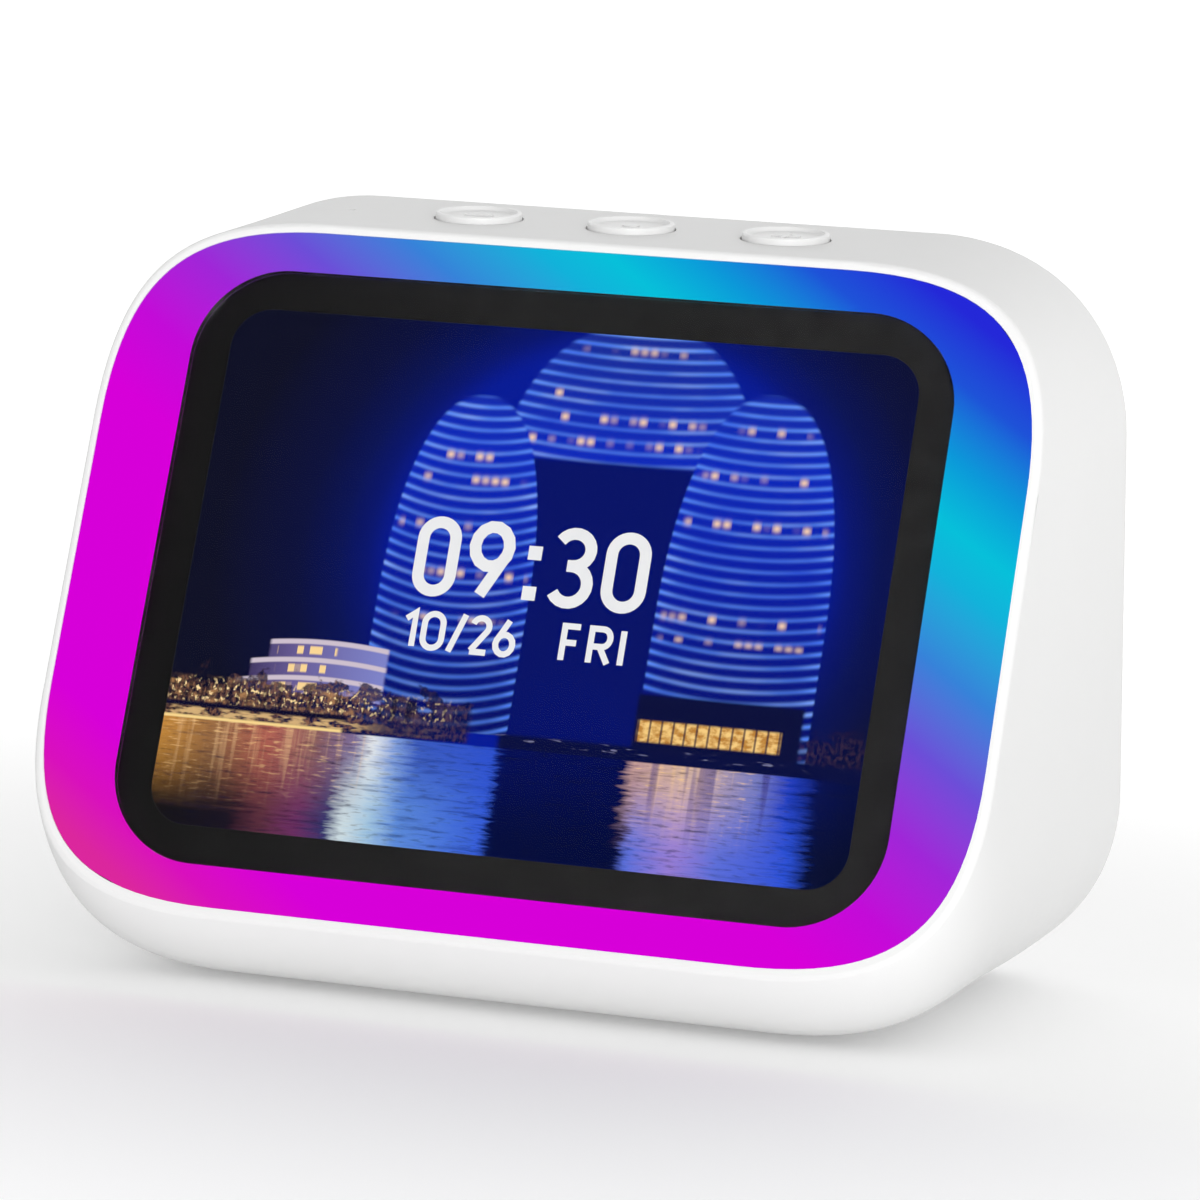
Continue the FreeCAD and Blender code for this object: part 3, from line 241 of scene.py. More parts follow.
def moulded(name, colour, roughness, grain=0.35, grain_size=9000, mottling=0.02, coat=0.0, mirror=0.5):
    """Moulded plastic: spark-eroded grain, faint mottling and uneven gloss."""
    shader = Shader(name)
    cloud = shader.noise(MOTTLING_SCALE, 3)
    darker = tuple(c * (1 - mottling * 2) for c in colour)
    tone = shader.mix(cloud, darker, tuple(min(1, c * (1 + mottling)) for c in colour))
    gloss = shader.node("MapRange", {"Value": shader.noise(GLOSS_SCALE, 2), "To Min": roughness - 0.05,
                                     "To Max": roughness + 0.06}).outputs[0]
    normal = shader.bump(shader.noise(grain_size, 2), grain, GRAIN_DEEP)
    return shader.finish(principled(shader, Base_Color=tone, Roughness=gloss, Normal=normal,
                                    Coat_Weight=coat, Coat_Roughness=0.25, Specular_IOR_Level=mirror))


def metal(name, colour, roughness, brushed=(1, 1, 1), scale=3000, bump=0.15):
    """Sheet or turned metal with fine lines along one way."""
    shader = Shader(name)
    lines = shader.noise(scale, 2, stretch=brushed)
    gloss = shader.node("MapRange", {"Value": lines, "To Min": roughness * 0.75,
                                     "To Max": roughness * 1.35}).outputs[0]
    tone = shader.mix(shader.noise(160, 3), tuple(c * 0.88 for c in colour), colour)
    return shader.finish(principled(shader, Base_Color=tone, Metallic=1.0, Roughness=gloss,
                                    Normal=shader.bump(lines, bump, BRUSHING_DEEP)))


def soft(name, colour, roughness=0.8, pores=4000, depth=0.5):
    """Rubber, foam or cloth: matt, with fine pores."""
    shader = Shader(name)
    where = shader.node("TexCoord").outputs["Object"]
    cells = shader.node("TexVoronoi", {"Scale": pores, "Vector": where}).outputs["Distance"]
    tone = shader.mix(shader.noise(300, 2), tuple(c * 0.8 for c in colour), tuple(c * 1.15 for c in colour))
    return shader.finish(principled(shader, Base_Color=tone, Roughness=roughness, Specular_IOR_Level=0.35,
                                    Normal=shader.bump(cells, depth, PORES_DEEP)))


class Field:
    """A number that varies over a surface. Python arithmetic on it adds Math nodes."""

    def __init__(self, shader, socket):
        self.shader, self.socket = shader, socket

    def of(self, operation, *others):
        return Field(self.shader, self.shader.math(operation, self.socket, *others))

    def __add__(self, other):
        return self.of("ADD", other)

    def __sub__(self, other):
        return self.of("SUBTRACT", other)

    def __mul__(self, other):
        return self.of("MULTIPLY", other)

    def __truediv__(self, other):
        return self.of("DIVIDE", other)

    def __pow__(self, power):
        return self.of("POWER", power)

    def absolute(self):
        return self.of("ABSOLUTE")

    def flipped(self):
        """One less the field."""
        return (self * -1) + 1

    def rise(self, low, high):
        """Zero below low, one above high, smooth between."""
        made = self.shader.node("MapRange", {"Value": self.socket, "From Min": low, "From Max": high},
                                interpolation_type="SMOOTHSTEP")
        return Field(self.shader, made.outputs[0])

    def between(self, low, high, soft=0.15):
        return self.rise(low - soft, low + soft) * self.rise(high - soft, high + soft).flipped()

    def bell(self, centre, width):
        offset = (self - centre) / width
        return (offset * offset * -1).of("EXPONENT")


class Screen(Shader):
    """Paints a night view by the water in layers, in millimetres from the middle of the screen."""

    def __init__(self, name):
        super().__init__(name)
        place = self.node("TexCoord").outputs["Object"]
        offset = self.node("VectorMath", {0: place, 1: tuple(FACE.translation)},
                           operation="SUBTRACT").outputs[0]
        self.x, self.y = (self.along(offset, FACE.col[axis].xyz / MM) for axis in (0, 1))
        self.picture = (0, 0, 0)

    def along(self, vector, direction):
        made = self.node("VectorMath", {0: vector, 1: tuple(direction)}, operation="DOT_PRODUCT")
        return Field(self, made.outputs["Value"])

    def grain(self, across, up, detail=2.0, seed=0.0):
        """Noise whose blobs are 1/across wide and 1/up high."""
        flat = self.node("CombineXYZ", {0: self.x * across, 1: self.y * up, 2: seed})
        made = self.node("TexNoise", {"Vector": flat.outputs[0], "Scale": 1.0, "Detail": detail})
        return Field(self, made.outputs["Fac"])

    def cells(self, wide, high, seed=0.0):
        """A random number for each cell of a grid."""
        column = (self.x / wide).of("FLOOR")
        row = (self.y / high).of("FLOOR")
        flat = self.node("CombineXYZ", {0: column, 1: row, 2: seed}).outputs[0]
        return Field(self, self.node("TexWhiteNoise", {"Vector": flat}).outputs["Value"])

    def stops(self, field, low, high, colours):
        """Colours at places on the field from low to high, as display colours."""
        reach = high - low
        scaled = [((place - low) / reach, linear(*colour)) for place, colour in colours]
        return self.ramp((field - low) / reach, scaled)

    def lay(self, mask, colour):
        """Lay a colour over the picture where the mask is one."""
        clamped = self.node("Clamp", {0: mask}).outputs[0]
        self.picture = self.mix(clamped, self.picture, colour)


# Display colours by distance from the middle of the glow, and across the water near and far.
NIGHT_SKY = [(0, (2, 20, 150)), (25, (2, 24, 150)), (28, (4, 18, 112)), (31, (5, 16, 86)), (36, (8, 14, 60)),
             (46, (11, 13, 36))]
SKY_CENTRE, SKY_REACH = (8, 4), 50
VIEW_REACH = 41                       # half the picture's width
WATERLINE, WATER_END = -18.0, -31.0
GLOW_NEAR = [(-41, (200, 140, 60)), (-34, (150, 105, 70)), (-28, (178, 98, 84)), (-22, (140, 96, 96)),
             (-17.5, (120, 105, 150)), (-15.5, (225, 230, 235)), (-12.5, (120, 150, 215)),
             (-10, (58, 90, 190)), (-1.2, (44, 80, 205)), (-0.2, (2, 11, 86)), (13.8, (2, 11, 80)),
             (15.2, (190, 150, 150)), (21, (215, 180, 160)), (29, (120, 125, 190)), (33, (30, 60, 190)),
             (36, (4, 14, 80)), (41, (2, 10, 60))]
GLOW_FAR = [(-41, (16, 15, 16)), (-31, (22, 16, 30)), (-27, (90, 45, 60)), (-23, (105, 45, 95)),
            (-19.5, (50, 50, 105)), (-17.5, (205, 220, 225)), (-14.5, (160, 195, 222)), (-11, (92, 138, 217)),
            (-1.2, (52, 92, 214)), (-0.2, (1, 8, 60)), (14.6, (1, 8, 58)), (16, (90, 110, 216)),
            (21, (150, 125, 212)), (26, (92, 110, 216)), (34, (42, 80, 214)), (36.5, (3, 10, 50)),
            (41, (3, 9, 42))]


def paint_sky(screen):
    away_x, away_y = screen.x - SKY_CENTRE[0], screen.y - SKY_CENTRE[1]
    away = (away_x * away_x + away_y * away_y) ** 0.5
    screen.picture = screen.stops(away, 0, SKY_REACH, NIGHT_SKY)


STOREY, WINDOW_WIDE = 1.36, 1.15      # of the towers
PALE_LINES = [(0.25, (56, 100, 226)), (0.5, (84, 132, 236)), (0.75, (136, 172, 246))]
DARK_WALLS = [(-14, (4, 14, 104)), (2, (8, 28, 160)), (16, (12, 40, 186)), (30, (24, 44, 150))]


def paint_tower(screen, centre, half, shoulder, crown, foot, bow, unlit_below=None):
    """A round-topped tower with a line of light round every floor, and a few warm windows."""
    x = (screen.x - centre) / half
    over = (screen.y - shoulder).of("MAXIMUM", 0.0) / (crown - shoulder)
    reach = x.absolute() ** 2.4 + over ** 2.2
    body = reach.rise(0.96, 1.03).flipped() * screen.y.rise(foot - 0.1, foot + 0.1)
    curved = screen.y + x * x * bow
    wave = ((curved * (2 * math.pi / STOREY)).of("SINE") + 1) * 0.5
    line = wave ** 2.6
    edge = reach.rise(0.45, 1.0)
    haze = screen.grain(0.12, 0.25, 2, centre)
    pale = screen.stops(haze, 0.25, 0.75, PALE_LINES)
    dark = screen.stops(screen.y, -14, 30, DARK_WALLS)
    facade = screen.mix(line * (edge * 0.4 + 0.6), dark, pale)
    screen.lay(body, facade)
    if unlit_below is not None:
        below = screen.y.rise(unlit_below - 0.6, unlit_below + 0.2).flipped()
        screen.lay(body * below, linear(3, 15, 104))
    floor_from = unlit_below if unlit_below is not None else foot + 12
    lamp = screen.cells(WINDOW_WIDE, STOREY * 2, centre).rise(0.45, 0.8)
    lamp = lamp * screen.cells(60, STOREY * 2, centre + 5).rise(0.5, 0.6)
    across = ((screen.x / WINDOW_WIDE).of("FRACT") - 0.5).bell(0, 0.42)
    upward = ((screen.y / (STOREY * 2)).of("FRACT") - 0.5).bell(0, 0.16)
    inner = reach.rise(0.6, 0.95).flipped() * screen.y.rise(floor_from, floor_from + 1)
    screen.lay(lamp * across * upward * inner * body * 0.95, linear(240, 204, 176))


HOUSE_STOREY = 2.1


def paint_house(screen):
    """A low curved house: three floors, each with a pale edge over a band of windows."""
    x, y = screen.x, screen.y
    bulge = (x + 22.5) / 10.5
    roof = (bulge * bulge * -1.0) - 7.7
    for level, left in enumerate((-29.5, -31.5, -33.0)):
        drop = (roof - y) - level * HOUSE_STOREY
        across = x.between(left, -15.4, 0.25)
        floor = across * drop.between(0, HOUSE_STOREY, 0.1)
        wall = screen.stops(x, -33, -15, [(-33, (50, 38, 76)), (-26, (104, 92, 150)), (-15, (128, 134, 204))])
        screen.lay(floor, wall)
        lamps = screen.cells(0.75, HOUSE_STOREY, 2.0 + level).rise(0.45, 0.6) * x.between(-28.5, -21.5, 0.2)
        screen.lay(floor * lamps * drop.between(0.8, 1.7, 0.15), linear(250, 214, 150))
        screen.lay(across * drop.between(0, 0.55, 0.12), linear(206, 192, 206))


def paint_shore(screen):
    """The quay with its lit trees, and a bright ground floor on the right."""
    x, y = screen.x, screen.y
    paint_house(screen)
    canopy = (screen.grain(0.42, 0.5, 4, 3.0) * 11) - 18.8
    trees = (y - canopy).rise(-0.4, 0.4).flipped() * y.rise(WATERLINE, WATERLINE + 0.3)
    trees = trees * (x.between(-42, -4.6, 0.5) + x.between(33, 42, 0.8) * 0.6)
    night = screen.stops(x, -VIEW_REACH, VIEW_REACH, [(-41, (22, 18, 34)), (-18, (16, 20, 66)),
                                                      (-5, (8, 16, 72)), (41, (8, 12, 56))])
    screen.lay(trees * 0.9, night)
    warm_side = x.rise(-20, -14).flipped() * 0.75 + 0.25
    leaves = screen.grain(2.4, 1.6, 4, 21.0).rise(0.4, 0.72)
    screen.lay(trees * leaves * y.rise(-15.5, -9.0).flipped() * warm_side * 0.8, linear(150, 104, 78))
    row = y.between(-16.0, -13.4, 0.6) * x.between(-41.5, -7, 1.5)
    screen.lay(screen.grain(0.5, 0.9, 3, 9.0).rise(0.45, 0.75) * row * warm_side * 0.6, linear(214, 158, 96))
    sparkle = screen.grain(2.0, 1.7, 2, 13.0).rise(0.55, 0.68) * (warm_side * 0.7 + 0.3)
    screen.lay(sparkle * row, linear(252, 222, 162))
    trunk = screen.grain(1.9, 0.1, 1, 30.0).rise(0.54, 0.6)
    screen.lay(trunk * row * 0.6, linear(18, 14, 32))
    screen.lay(y.between(-16.7, -16.1, 0.2) * x.between(-42, -19, 0.5), linear(14, 12, 42))
    front = y.between(-17.7, -16.7, 0.2) * x.between(-42, -8, 1.0)
    front = front * (warm_side * 1.1 - 0.2)
    screen.lay(front * screen.grain(0.5, 1.6, 2, 4.0).rise(0.42, 0.6), linear(220, 182, 126))
    screen.lay(y.between(-18.2, -17.7, 0.15) * x.between(-42, -19.4, 0.3), linear(248, 214, 142))

    podium = x.between(14.4, 33.4, 0.3) * y.between(-18, -10.4, 0.3)
    screen.lay(podium, linear(7, 12, 58))
    pane = ((x / 1.35).of("FRACT") - 0.5).absolute().rise(0.36, 0.46).flipped()
    warm = screen.mix(screen.grain(0.9, 1.4, 3, 6.0).rise(0.35, 0.65), linear(186, 128, 56),
                      linear(246, 204, 128))
    screen.lay(x.between(14.8, 31.2, 0.2) * y.between(-15.7, -13.3, 0.2) * (pane * 0.75 + 0.25), warm)
    screen.lay(y.between(-18.2, -16.4, 0.3) * x.rise(-1.5, -0.5), linear(6, 12, 62))
    boats = screen.grain(0.45, 2.4, 2, 12.0).rise(0.6, 0.7) * y.between(-17.3, -16.5, 0.2) * x.rise(-4, -2)
    screen.lay(boats * 0.6, linear(150, 150, 190))


def paint_water(screen):
    """Reflections drawn down across ripples, which are broad and fine by turns."""
    ripple = screen.grain(0.16, 1.7, 3, 1.0) - 0.5
    wavelet = screen.grain(0.55, 3.4, 3, 17.0) - 0.5
    drift = screen.x + ripple * 2.6 + wavelet * 3.0
    near = screen.stops(drift, -VIEW_REACH, VIEW_REACH, GLOW_NEAR)
    far = screen.stops(drift, -VIEW_REACH, VIEW_REACH, GLOW_FAR)
    depth = (screen.y + ripple * 3.0).rise(WATER_END + 2, WATERLINE).flipped()
    water = screen.mix(depth, near, far)
    warm = (screen.x.between(-42, -16, 1) + screen.x.between(15, 29, 0.8))
    streak = screen.grain(1.2, 0.08, 2, 7.0).rise(0.5, 0.75) * depth.flipped()
    water = screen.mix(streak * warm * 0.35, water, linear(252, 206, 150))
    glint = wavelet.rise(0.06, 0.2) * depth.flipped() * warm
    water = screen.mix(glint * 0.55, water, linear(252, 206, 140))
    bars = screen.grain(0.7, 0.03, 1, 2.0).rise(0.56, 0.66) * screen.x.between(15, 31, 0.8) * depth.flipped()
    water = screen.mix(bars * 0.6, water, linear(60, 50, 130))
    trough = (ripple * 2.2).rise(0.05, 0.5) * 0.4 + (wavelet * -1).rise(0.02, 0.2) * 0.38
    screen.lay(screen.y.rise(WATERLINE - 0.15, WATERLINE + 0.05).flipped(),
               screen.mix(trough, water, linear(8, 12, 46)))


def screen_material():
    screen = Screen("night_view")
    paint_sky(screen)
    paint_tower(screen, centre=8.5, half=15.5, shoulder=9, crown=31.6, foot=-16.6, bow=-1.2, unlit_below=15.6)
    paint_tower(screen, centre=-9.0, half=8.9, shoulder=-2, crown=22.0, foot=-16.6, bow=-1.6)
    paint_tower(screen, centre=24.5, half=9.8, shoulder=-2, crown=24.5, foot=-16.6, bow=-1.0)
    paint_shore(screen)
    paint_water(screen)
    return lit(screen, screen.picture)


RING_AIM = (0.539, 0.842)             # the way the ring's colours run, across and up the screen
RING_REACH = 58                       # how far they run from the middle
RING_STOPS = [(-54, (219, 39, 157)), (-49, (217, 16, 189)), (-42, (215, 0, 217)), (-12, (215, 0, 217)),
              (-3.5, (195, 11, 216)), (5, (160, 38, 216)), (13.5, (108, 78, 216)), (21.7, (55, 130, 217)),
              (30, (18, 178, 218)), (34.5, (7, 192, 218)), (40.9, (12, 151, 217)), (47.4, (30, 83, 216)),
              (54, (36, 40, 216))]


def ring_material():
    """Colours of the lamps, spread through the milky ring."""
    screen = Screen("ring_diffuser")
    along = screen.x * RING_AIM[0] + screen.y * RING_AIM[1]
    return lit(screen, screen.stops(along, -RING_REACH, RING_REACH, RING_STOPS))


BORDER_REACH = 44
# The print's tone across the screen: black, with a painted reflection of the room in the glass making it
# paler towards the right.
BORDER_PRINT_AND_REFLECTION_STOPS = [(-44, (2, 2, 2)), (-36, (15, 15, 15)), (-5, (35, 35, 35)), (36, (40, 40, 40)),
                (44, (37, 37, 38))]
DEEP_BLACK = (0.002, 0.002, 0.002)


def border_print_with_painted_reflection():
    """Black print seen through the glass, with a painted reflection making it paler on the right, and a trace
    of unevenness.
    """
    screen = Screen("border_print")
    # Paler towards the right: a painted reflection, not the print's own tone.
    even = screen.stops(screen.x, -BORDER_REACH, BORDER_REACH, BORDER_PRINT_AND_REFLECTION_STOPS)
    tone = screen.mix(screen.grain(0.4, 0.4), even, DEEP_BLACK)
    return screen.finish(principled(screen, Base_Color=tone, Roughness=0.55, Specular_IOR_Level=0.1))


def clear_glass():
    """Coated cover glass, its gloss broken up by the faintest smears."""
    shader = Shader("cover_glass")
    smear = shader.node("MapRange", {"Value": shader.noise(35, 4), "To Min": 0.0, "To Max": 0.03}).outputs[0]
    return shader.finish(principled(shader, Base_Color=(1, 1, 1), Transmission_Weight=1.0, IOR=1.1,
                                    Specular_IOR_Level=0.25, Roughness=smear))


def circuit_board(name, colour=(0.012, 0.09, 0.035)):
    """Lacquered board: copper tracks under the mask, silver pads."""
    shader = Shader(name)
    where = shader.node("TexCoord").outputs["Object"]
    bricks = shader.node("TexBrick", {"Vector": where, "Scale": 240.0, "Color1": colour,
                                      "Color2": tuple(c * 1.5 for c in colour),
                                      "Mortar": tuple(c * 2.4 for c in colour), "Mortar Size": 0.06})
    dots = shader.node("TexVoronoi", {"Vector": where, "Scale": 420.0}).outputs["Distance"]
    pads = shader.node("MapRange", {"Value": dots, "From Min": 0.16, "From Max": 0.12}).outputs[0]
    tone = shader.mix(pads, bricks.outputs["Color"], (0.62, 0.6, 0.55))
    return shader.finish(principled(shader, Base_Color=tone, Roughness=0.35, Metallic=pads, Coat_Weight=0.3,
                                    Normal=shader.bump(bricks.outputs["Fac"], 0.3, GRAIN_DEEP)))


def ring_of_lamps():
    """Milky lamp domes with a warm phosphor heart."""
    shader = Shader("ring_lamps")
    spots = shader.node("TexVoronoi", {"Scale": 900.0, "Vector": shader.node("TexCoord").outputs["Object"]})
    tone = shader.mix(spots.outputs["Distance"], (0.95, 0.83, 0.35), (0.9, 0.9, 0.86))
    return shader.finish(principled(shader, Base_Color=tone, Roughness=0.3, Coat_Weight=0.5,
                                    Coat_Roughness=0.1))


def striped_wires():
    """Red and black insulation, side by side."""
    shader = Shader("wire_red_black")
    x = shader.node("SeparateXYZ", {0: shader.node("TexCoord").outputs["Object"]}).outputs[0]
    side = shader.math("GREATER_THAN", shader.math("FRACT", shader.math("MULTIPLY", x, 420.0)), 0.5)
    tone = shader.mix(side, (0.5, 0.01, 0.008), (0.012, 0.012, 0.013))
    return shader.finish(principled(shader, Base_Color=tone, Roughness=0.42,
                                    Normal=shader.bump(shader.noise(1500), 0.2, GRAIN_DEEP)))


def winding():
    """Enamelled copper, turn on turn along the voice coil's axis."""
    shader = Shader("coil_copper")
    where = shader.node("TexCoord").outputs["Object"]
    along = shader.node("VectorMath", {0: where, 1: (0, math.cos(BACK_LEAN), math.sin(BACK_LEAN))},
                        operation="DOT_PRODUCT").outputs["Value"]
    turns = shader.math("SINE", shader.math("MULTIPLY", along, 2 * math.pi / (0.16 * MM)))
    tone = shader.mix(turns, (0.32, 0.1, 0.03), (0.85, 0.38, 0.16))
    return shader.finish(principled(shader, Base_Color=tone, Metallic=1.0, Roughness=0.3,
                                    Normal=shader.bump(turns, 0.6, 0.00005)))


WHITE = (0.725, 0.725, 0.722)


# What each slot of the record is made of.
PLASTICS = {
    "housing_plastic": {"colour": WHITE, "roughness": 0.57, "grain": 0.18, "mottling": 0.006,
                        "mirror": 0.25},
    "button_plastic": {"colour": WHITE, "roughness": 0.42, "grain": 0.12, "mottling": 0.006, "coat": 0.1,
                       "mirror": 0.35},
    "frame_plastic": {"colour": WHITE, "roughness": 0.55},
    "base_plastic": {"colour": (0.66, 0.66, 0.655), "roughness": 0.55, "grain": 0.4},
    "grille_plastic": {"colour": (0.68, 0.68, 0.677), "roughness": 0.48, "grain": 0.3},
    "plunger_plastic": {"colour": (0.62, 0.62, 0.6), "roughness": 0.5},
    "box_plastic": {"colour": (0.03, 0.03, 0.032), "roughness": 0.5, "grain": 0.5},
    "socket_plastic": {"colour": (0.018, 0.018, 0.019), "roughness": 0.4},
    "connector_nylon": {"colour": (0.72, 0.69, 0.6), "roughness": 0.45},
    "chip_black": {"colour": (0.02, 0.02, 0.021), "roughness": 0.5, "grain": 0.6, "grain_size": 14000},
    "capacitor_sleeve": {"colour": (0.02, 0.035, 0.11), "roughness": 0.32, "coat": 0.4},
    "touch_film": {"colour": (0.01, 0.011, 0.014), "roughness": 0.3, "grain": 0.05},
    "screen_panel": {"colour": (0.012, 0.013, 0.018), "roughness": 0.25, "grain": 0.05, "coat": 0.5},
    "light_guide": {"colour": (0.82, 0.85, 0.86), "roughness": 0.2, "grain": 0.05, "coat": 0.6},
    "backlight": {"colour": (0.85, 0.8, 0.5), "roughness": 0.35},
    "flex_film": {"colour": (0.36, 0.13, 0.02), "roughness": 0.3, "grain": 0.1, "coat": 0.5},
    "antenna_film": {"colour": (0.02, 0.02, 0.022), "roughness": 0.3, "grain": 0.1, "coat": 0.4},
}
METALS = {
    "tray_steel": {"colour": (0.62, 0.63, 0.64), "roughness": 0.32, "brushed": (1, 0.05, 0.05)},
    "can_steel": {"colour": (0.68, 0.68, 0.66), "roughness": 0.3, "brushed": (1, 0.05, 0.05)},
    "wifi_steel": {"colour": (0.7, 0.7, 0.68), "roughness": 0.28, "brushed": (0.05, 1, 1)},
    "switch_steel": {"colour": (0.6, 0.6, 0.6), "roughness": 0.3},
    "mic_steel": {"colour": (0.75, 0.66, 0.42), "roughness": 0.3},
    "spreader_aluminium": {"colour": (0.8, 0.81, 0.82), "roughness": 0.38, "brushed": (0.04, 1, 1)},
    "basket_steel": {"colour": (0.09, 0.09, 0.095), "roughness": 0.45},
    "yoke_steel": {"colour": (0.55, 0.54, 0.5), "roughness": 0.3},
    "pin_plate": {"colour": (0.8, 0.78, 0.7), "roughness": 0.22},
    "screw_steel": {"colour": (0.5, 0.5, 0.5), "roughness": 0.28},
}
SOFT_STUFFS = {
    "bonding_tape": {"colour": (0.02, 0.02, 0.02), "roughness": 0.7, "pores": 6000, "depth": 0.3},
    "foot_rubber": {"colour": (0.06, 0.06, 0.062), "roughness": 0.85, "pores": 3000},
    "silicone": {"colour": (0.35, 0.35, 0.35), "roughness": 0.6, "pores": 3500, "depth": 0.2},
    "thermal_pad": {"colour": (0.32, 0.42, 0.55), "roughness": 0.7, "pores": 5000, "depth": 0.4},
    "black_foam": {"colour": (0.014, 0.014, 0.015), "roughness": 0.95, "pores": 2600, "depth": 0.9},
    "ferrite": {"colour": (0.045, 0.045, 0.05), "roughness": 0.62, "pores": 2200, "depth": 0.4},
    "cone_paper": {"colour": (0.03, 0.03, 0.032), "roughness": 0.85, "pores": 1800, "depth": 0.6},
    "surround_rubber": {"colour": (0.016, 0.016, 0.017), "roughness": 0.55, "pores": 4000, "depth": 0.15},
    "spider_cloth": {"colour": (0.5, 0.3, 0.1), "roughness": 0.9, "pores": 2400, "depth": 0.8},
}


def slot_materials():
    """A material for every slot of the record."""
    made = {name: moulded(name, **look) for name, look in PLASTICS.items()}
    made.update({name: metal(name, **look) for name, look in METALS.items()})
    made.update({name: soft(name, **look) for name, look in SOFT_STUFFS.items()})
    made.update({
        "ring_board": circuit_board("ring_board", (0.62, 0.62, 0.6)),
        "board_green": circuit_board("board_green"),
        "ring_diffuser": ring_material(),
        "ring_lamps": ring_of_lamps(),
        "cover_glass": clear_glass(),
        "border_print": border_print_with_painted_reflection(),
        "wire_red_black": striped_wires(),
        "coil_copper": winding(),
    })
    missing = {row["slot"] for row in frame["record"]["materials"]} ^ set(made)
    if missing:
        raise ValueError("slots without a material, or the other way round: %s" % sorted(missing))
    return made


def dress(materials):
    """Give every CAD node the material of its slot."""
    for node in NODES.values():
        for place in node.material_slots:
            place.material = materials[place.material.name.split(".")[0]]


# ---------------------------------------------------------------- the picture and its clock
TIME_LINE = {"base": -1.6, "tall": 9.3, "pen": 1.35, "signs": [
    ("0", -14.25, 5.15), ("9", -8.05, 5.4), (":", -1.05, 1.6), ("3", 1.5, 5.5), ("0", 8.0, 5.25)]}
DATE_LINE = {"base": -7.8, "tall": 4.6, "pen": 0.7, "signs": [
    ("1", -14.3, 1.7), ("0", -12.1, 2.9), ("/", -8.9, 2.2), ("2", -6.4, 2.6), ("6", -3.5, 2.7),
    ("F", 4.3, 2.5), ("R", 7.5, 2.9), ("I", 11.2, 0.7)]}
PICTURE_WIDTH, PICTURE_TALL, PICTURE_ROUND = 81.5, 60.5, 4.65
PICTURE_DEPTH = -1.09                 # behind the glass, inside the print's window
DIGIT_DEPTH = -1.045
SHEET_THICK = 0.02
CURVE_STEPS = 14


def new_piece(name, mesh, material):
    """A piece of the screen, fixed in the case."""
    piece = bpy.data.objects.new(name, mesh)
    bpy.context.scene.collection.objects.link(piece)
    mesh.materials.append(material)
    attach(piece, "case")


def arc(centre, across, up, start, end):
    """Points round an ellipse, angles in degrees."""
    return [(centre[0] + across * math.cos(math.radians(start + (end - start) * i / CURVE_STEPS)),
             centre[1] + up * math.sin(math.radians(start + (end - start) * i / CURVE_STEPS)))
            for i in range(CURVE_STEPS + 1)]


def rounded_outline(width, tall, radius):
    points = []
    for number, (side, rise) in enumerate(((1, 1), (-1, 1), (-1, -1), (1, -1))):
        centre = (side * (width / 2 - radius), rise * (tall / 2 - radius))
        points += arc(centre, radius, radius, 90 * number, 90 * number + 90)
    return points


def thin_sheet(bm, outline, depth):
    """A closed flat plate with the outline, in the screen's own frame, its front at depth."""
    rings = [[bm.verts.new(FACE @ Vector((x * MM, y * MM, z * MM))) for x, y in outline]
             for z in (depth, depth - SHEET_THICK)]
    bm.faces.new(rings[0])
    bm.faces.new(rings[1][::-1])
    for i in range(len(outline)):
        j = (i + 1) % len(outline)
        bm.faces.new((rings[0][i], rings[1][i], rings[1][j], rings[0][j]))


def stroke_outline(points, width, closed):
    """Left and right edges of a pen stroke along the points."""
    left, right = [], []
    last = len(points) - 1
    for i, point in enumerate(points):
        before = points[i - 1] if (i or closed) else point
        after = points[(i + 1) % len(points)] if (i < last or closed) else point
        ways = [Vector(b) - Vector(a) for a, b in ((before, point), (point, after)) if a != b]
        ways = [way.normalized() for way in ways]
        way = sum(ways, Vector((0, 0))).normalized()
        side = Vector((-way.y, way.x))
        half = width / 2 / max(0.5, abs(side.dot(Vector((-ways[0].y, ways[0].x)))))
        left.append(Vector(point) + side * half)
        right.append(Vector(point) - side * half)
    return left, right


def stroke(bm, points, width, closed=False):
    left, right = stroke_outline(points, width, closed)
    grid = [[bm.verts.new(FACE @ Vector((p.x * MM, p.y * MM, z * MM))) for p in side]
            for side, z in ((left, DIGIT_DEPTH), (right, DIGIT_DEPTH),
                            (right, DIGIT_DEPTH - SHEET_THICK), (left, DIGIT_DEPTH - SHEET_THICK))]
    count = len(points)
    for i in range(count if closed else count - 1):
        j = (i + 1) % count
        for near, far in zip(grid, grid[1:] + grid[:1]):
            bm.faces.new((near[i], far[i], far[j], near[j]))
    if not closed:
        for i in (0, count - 1):
            bm.faces.new([side[i] for side in grid])


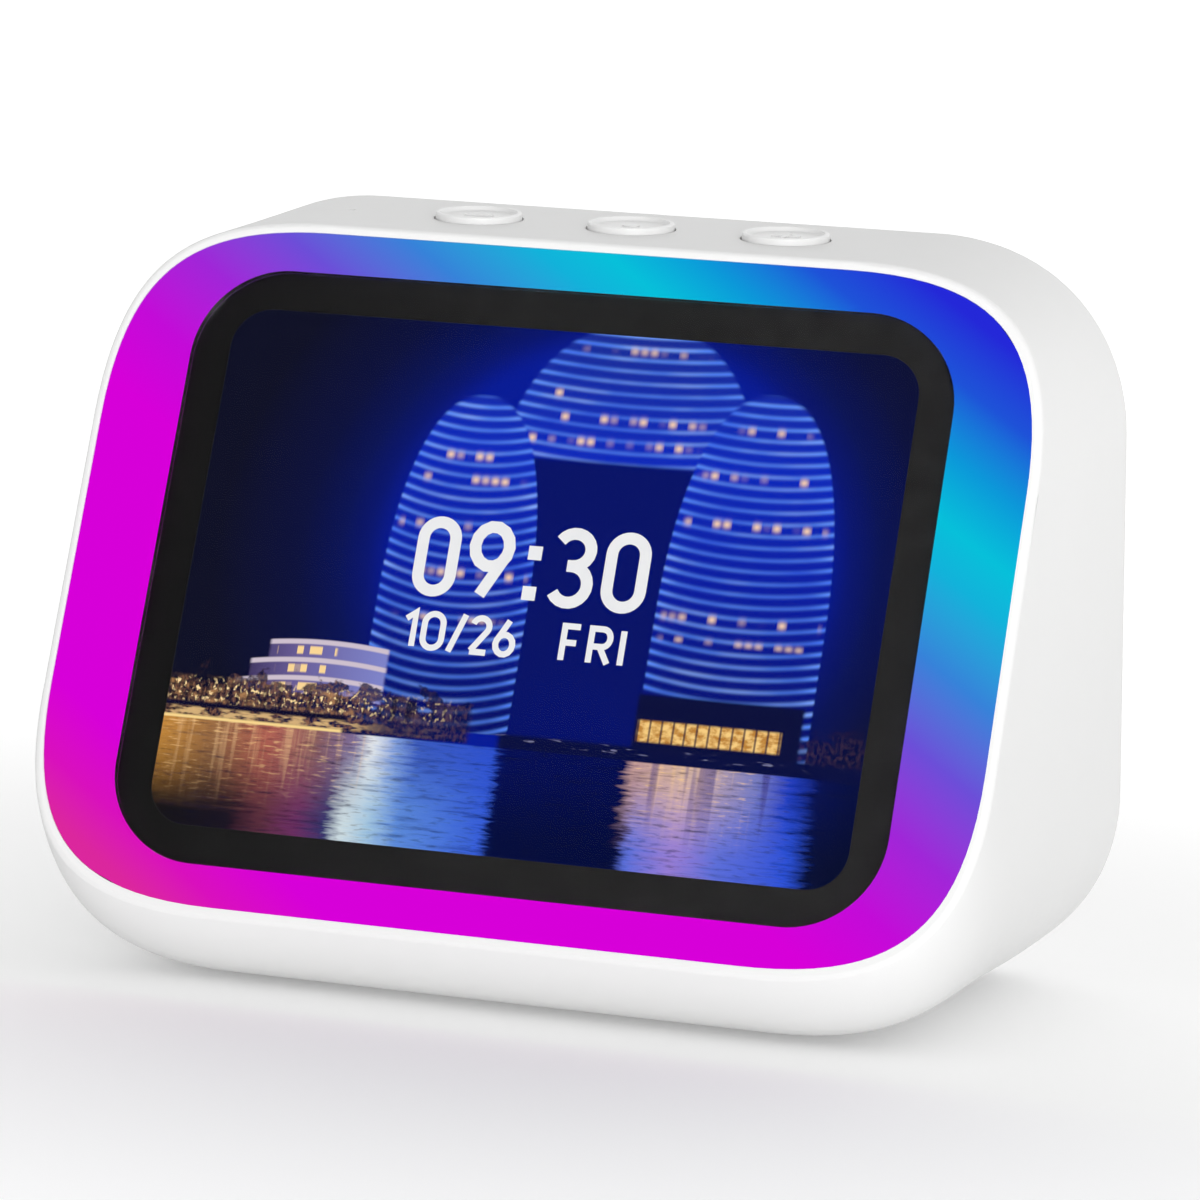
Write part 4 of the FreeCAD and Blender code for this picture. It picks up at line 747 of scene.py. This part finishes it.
def glyph_strokes(sign, wide, tall):
    """Pen strokes of a numeral or capital in a box from the origin: (points, closed)."""
    half, top, mid = wide / 2, tall, tall / 2
    if sign == "0":
        upper, lower = arc((half, tall - half), half, half, 0, 180), arc((half, half), half, half, 180, 360)
        return [(upper + lower, True)]
    if sign == "1":
        return [([(0, top * 0.8), (wide, top), (wide, 0)], False)]
    if sign == "2":
        return [(arc((half, tall - half), half, half, 165, -38) + [(0.04 * wide, 0.03 * tall)], False),
                ([(0, 0), (wide, 0)], False)]
    if sign == "3":
        upper, lower = tall * 0.235, tall * 0.265
        waist = (wide * 0.36, tall - 2 * upper)
        return [(arc((half, tall - upper), half * 0.94, upper, 150, -90) + [waist], False),
                (arc((half, lower), half, lower, 90, -150), False)]
    if sign in "69":
        bowl = tall * 0.29
        loop = (arc((half, bowl), half, bowl, 0, 360)[:-1], True)
        tail = ([(half * 0.13, bowl * 1.42), (wide * 0.66, top)], False)
        strokes = [loop, tail]
        return strokes if sign == "6" else [([(wide - x, tall - y) for x, y in p], c) for p, c in strokes]
    if sign == "/":
        return [([(0, -0.06 * tall), (wide, 1.06 * tall)], False)]
    if sign == "F":
        return [([(0, 0), (0, top), (wide, top)], False),
                ([(0, mid * 1.04), (wide * 0.85, mid * 1.04)], False)]
    if sign == "R":
        bow = arc((wide * 0.6, tall * 0.74), wide * 0.4, tall * 0.26, 80, -80)
        return [([(0, 0), (0, top), (half, top)] + bow + [(half, tall * 0.48), (0, tall * 0.48)], False),
                ([(wide * 0.5, tall * 0.48), (wide, 0)], False)]
    return [([(0, 0), (0, top)], False)]


def write_line(bm, signs, base, tall, pen):
    """Signs at their places: (sign, left, width), all heights to the outside of the stroke."""
    for sign, left, wide in signs:
        if sign == ":":
            for height in (0.06, 0.56):
                dot = [(left, base + tall * height), (left + wide, base + tall * height)]
                stroke(bm, [(x, y + wide / 2) for x, y in dot], wide)
            continue
        for points, closed in glyph_strokes(sign, wide - pen, tall - pen):
            stroke(bm, [(left + pen / 2 + x, base + pen / 2 + y) for x, y in points], pen, closed)


def make_picture():
    """The lit picture and, just in front of it, the clock's numerals."""
    bm = bmesh.new()
    thin_sheet(bm, rounded_outline(PICTURE_WIDTH, PICTURE_TALL, PICTURE_ROUND), PICTURE_DEPTH + SHEET_THICK)
    mesh = bpy.data.meshes.new("screen_picture")
    bm.to_mesh(mesh)
    new_piece("screen_picture", mesh, screen_material())

    bm = bmesh.new()
    for line in (TIME_LINE, DATE_LINE):
        write_line(bm, **line)
    bmesh.ops.recalc_face_normals(bm, faces=bm.faces)
    mesh = bpy.data.meshes.new("clock_digits")
    bm.to_mesh(mesh)
    shader = Shader("clock_digits")
    tone = shader.mix(shader.noise(500), linear(230, 231, 234), linear(240, 240, 240))
    new_piece("clock_digits", mesh, lit(shader, tone))


# ---------------------------------------------------------------- everything in order
bpy.context.scene.view_settings.view_transform = "Standard"
bpy.context.scene.view_settings.look = "None"
make_camera()
make_room()
make_key_light()
make_floor()
dress(slot_materials())
make_picture()
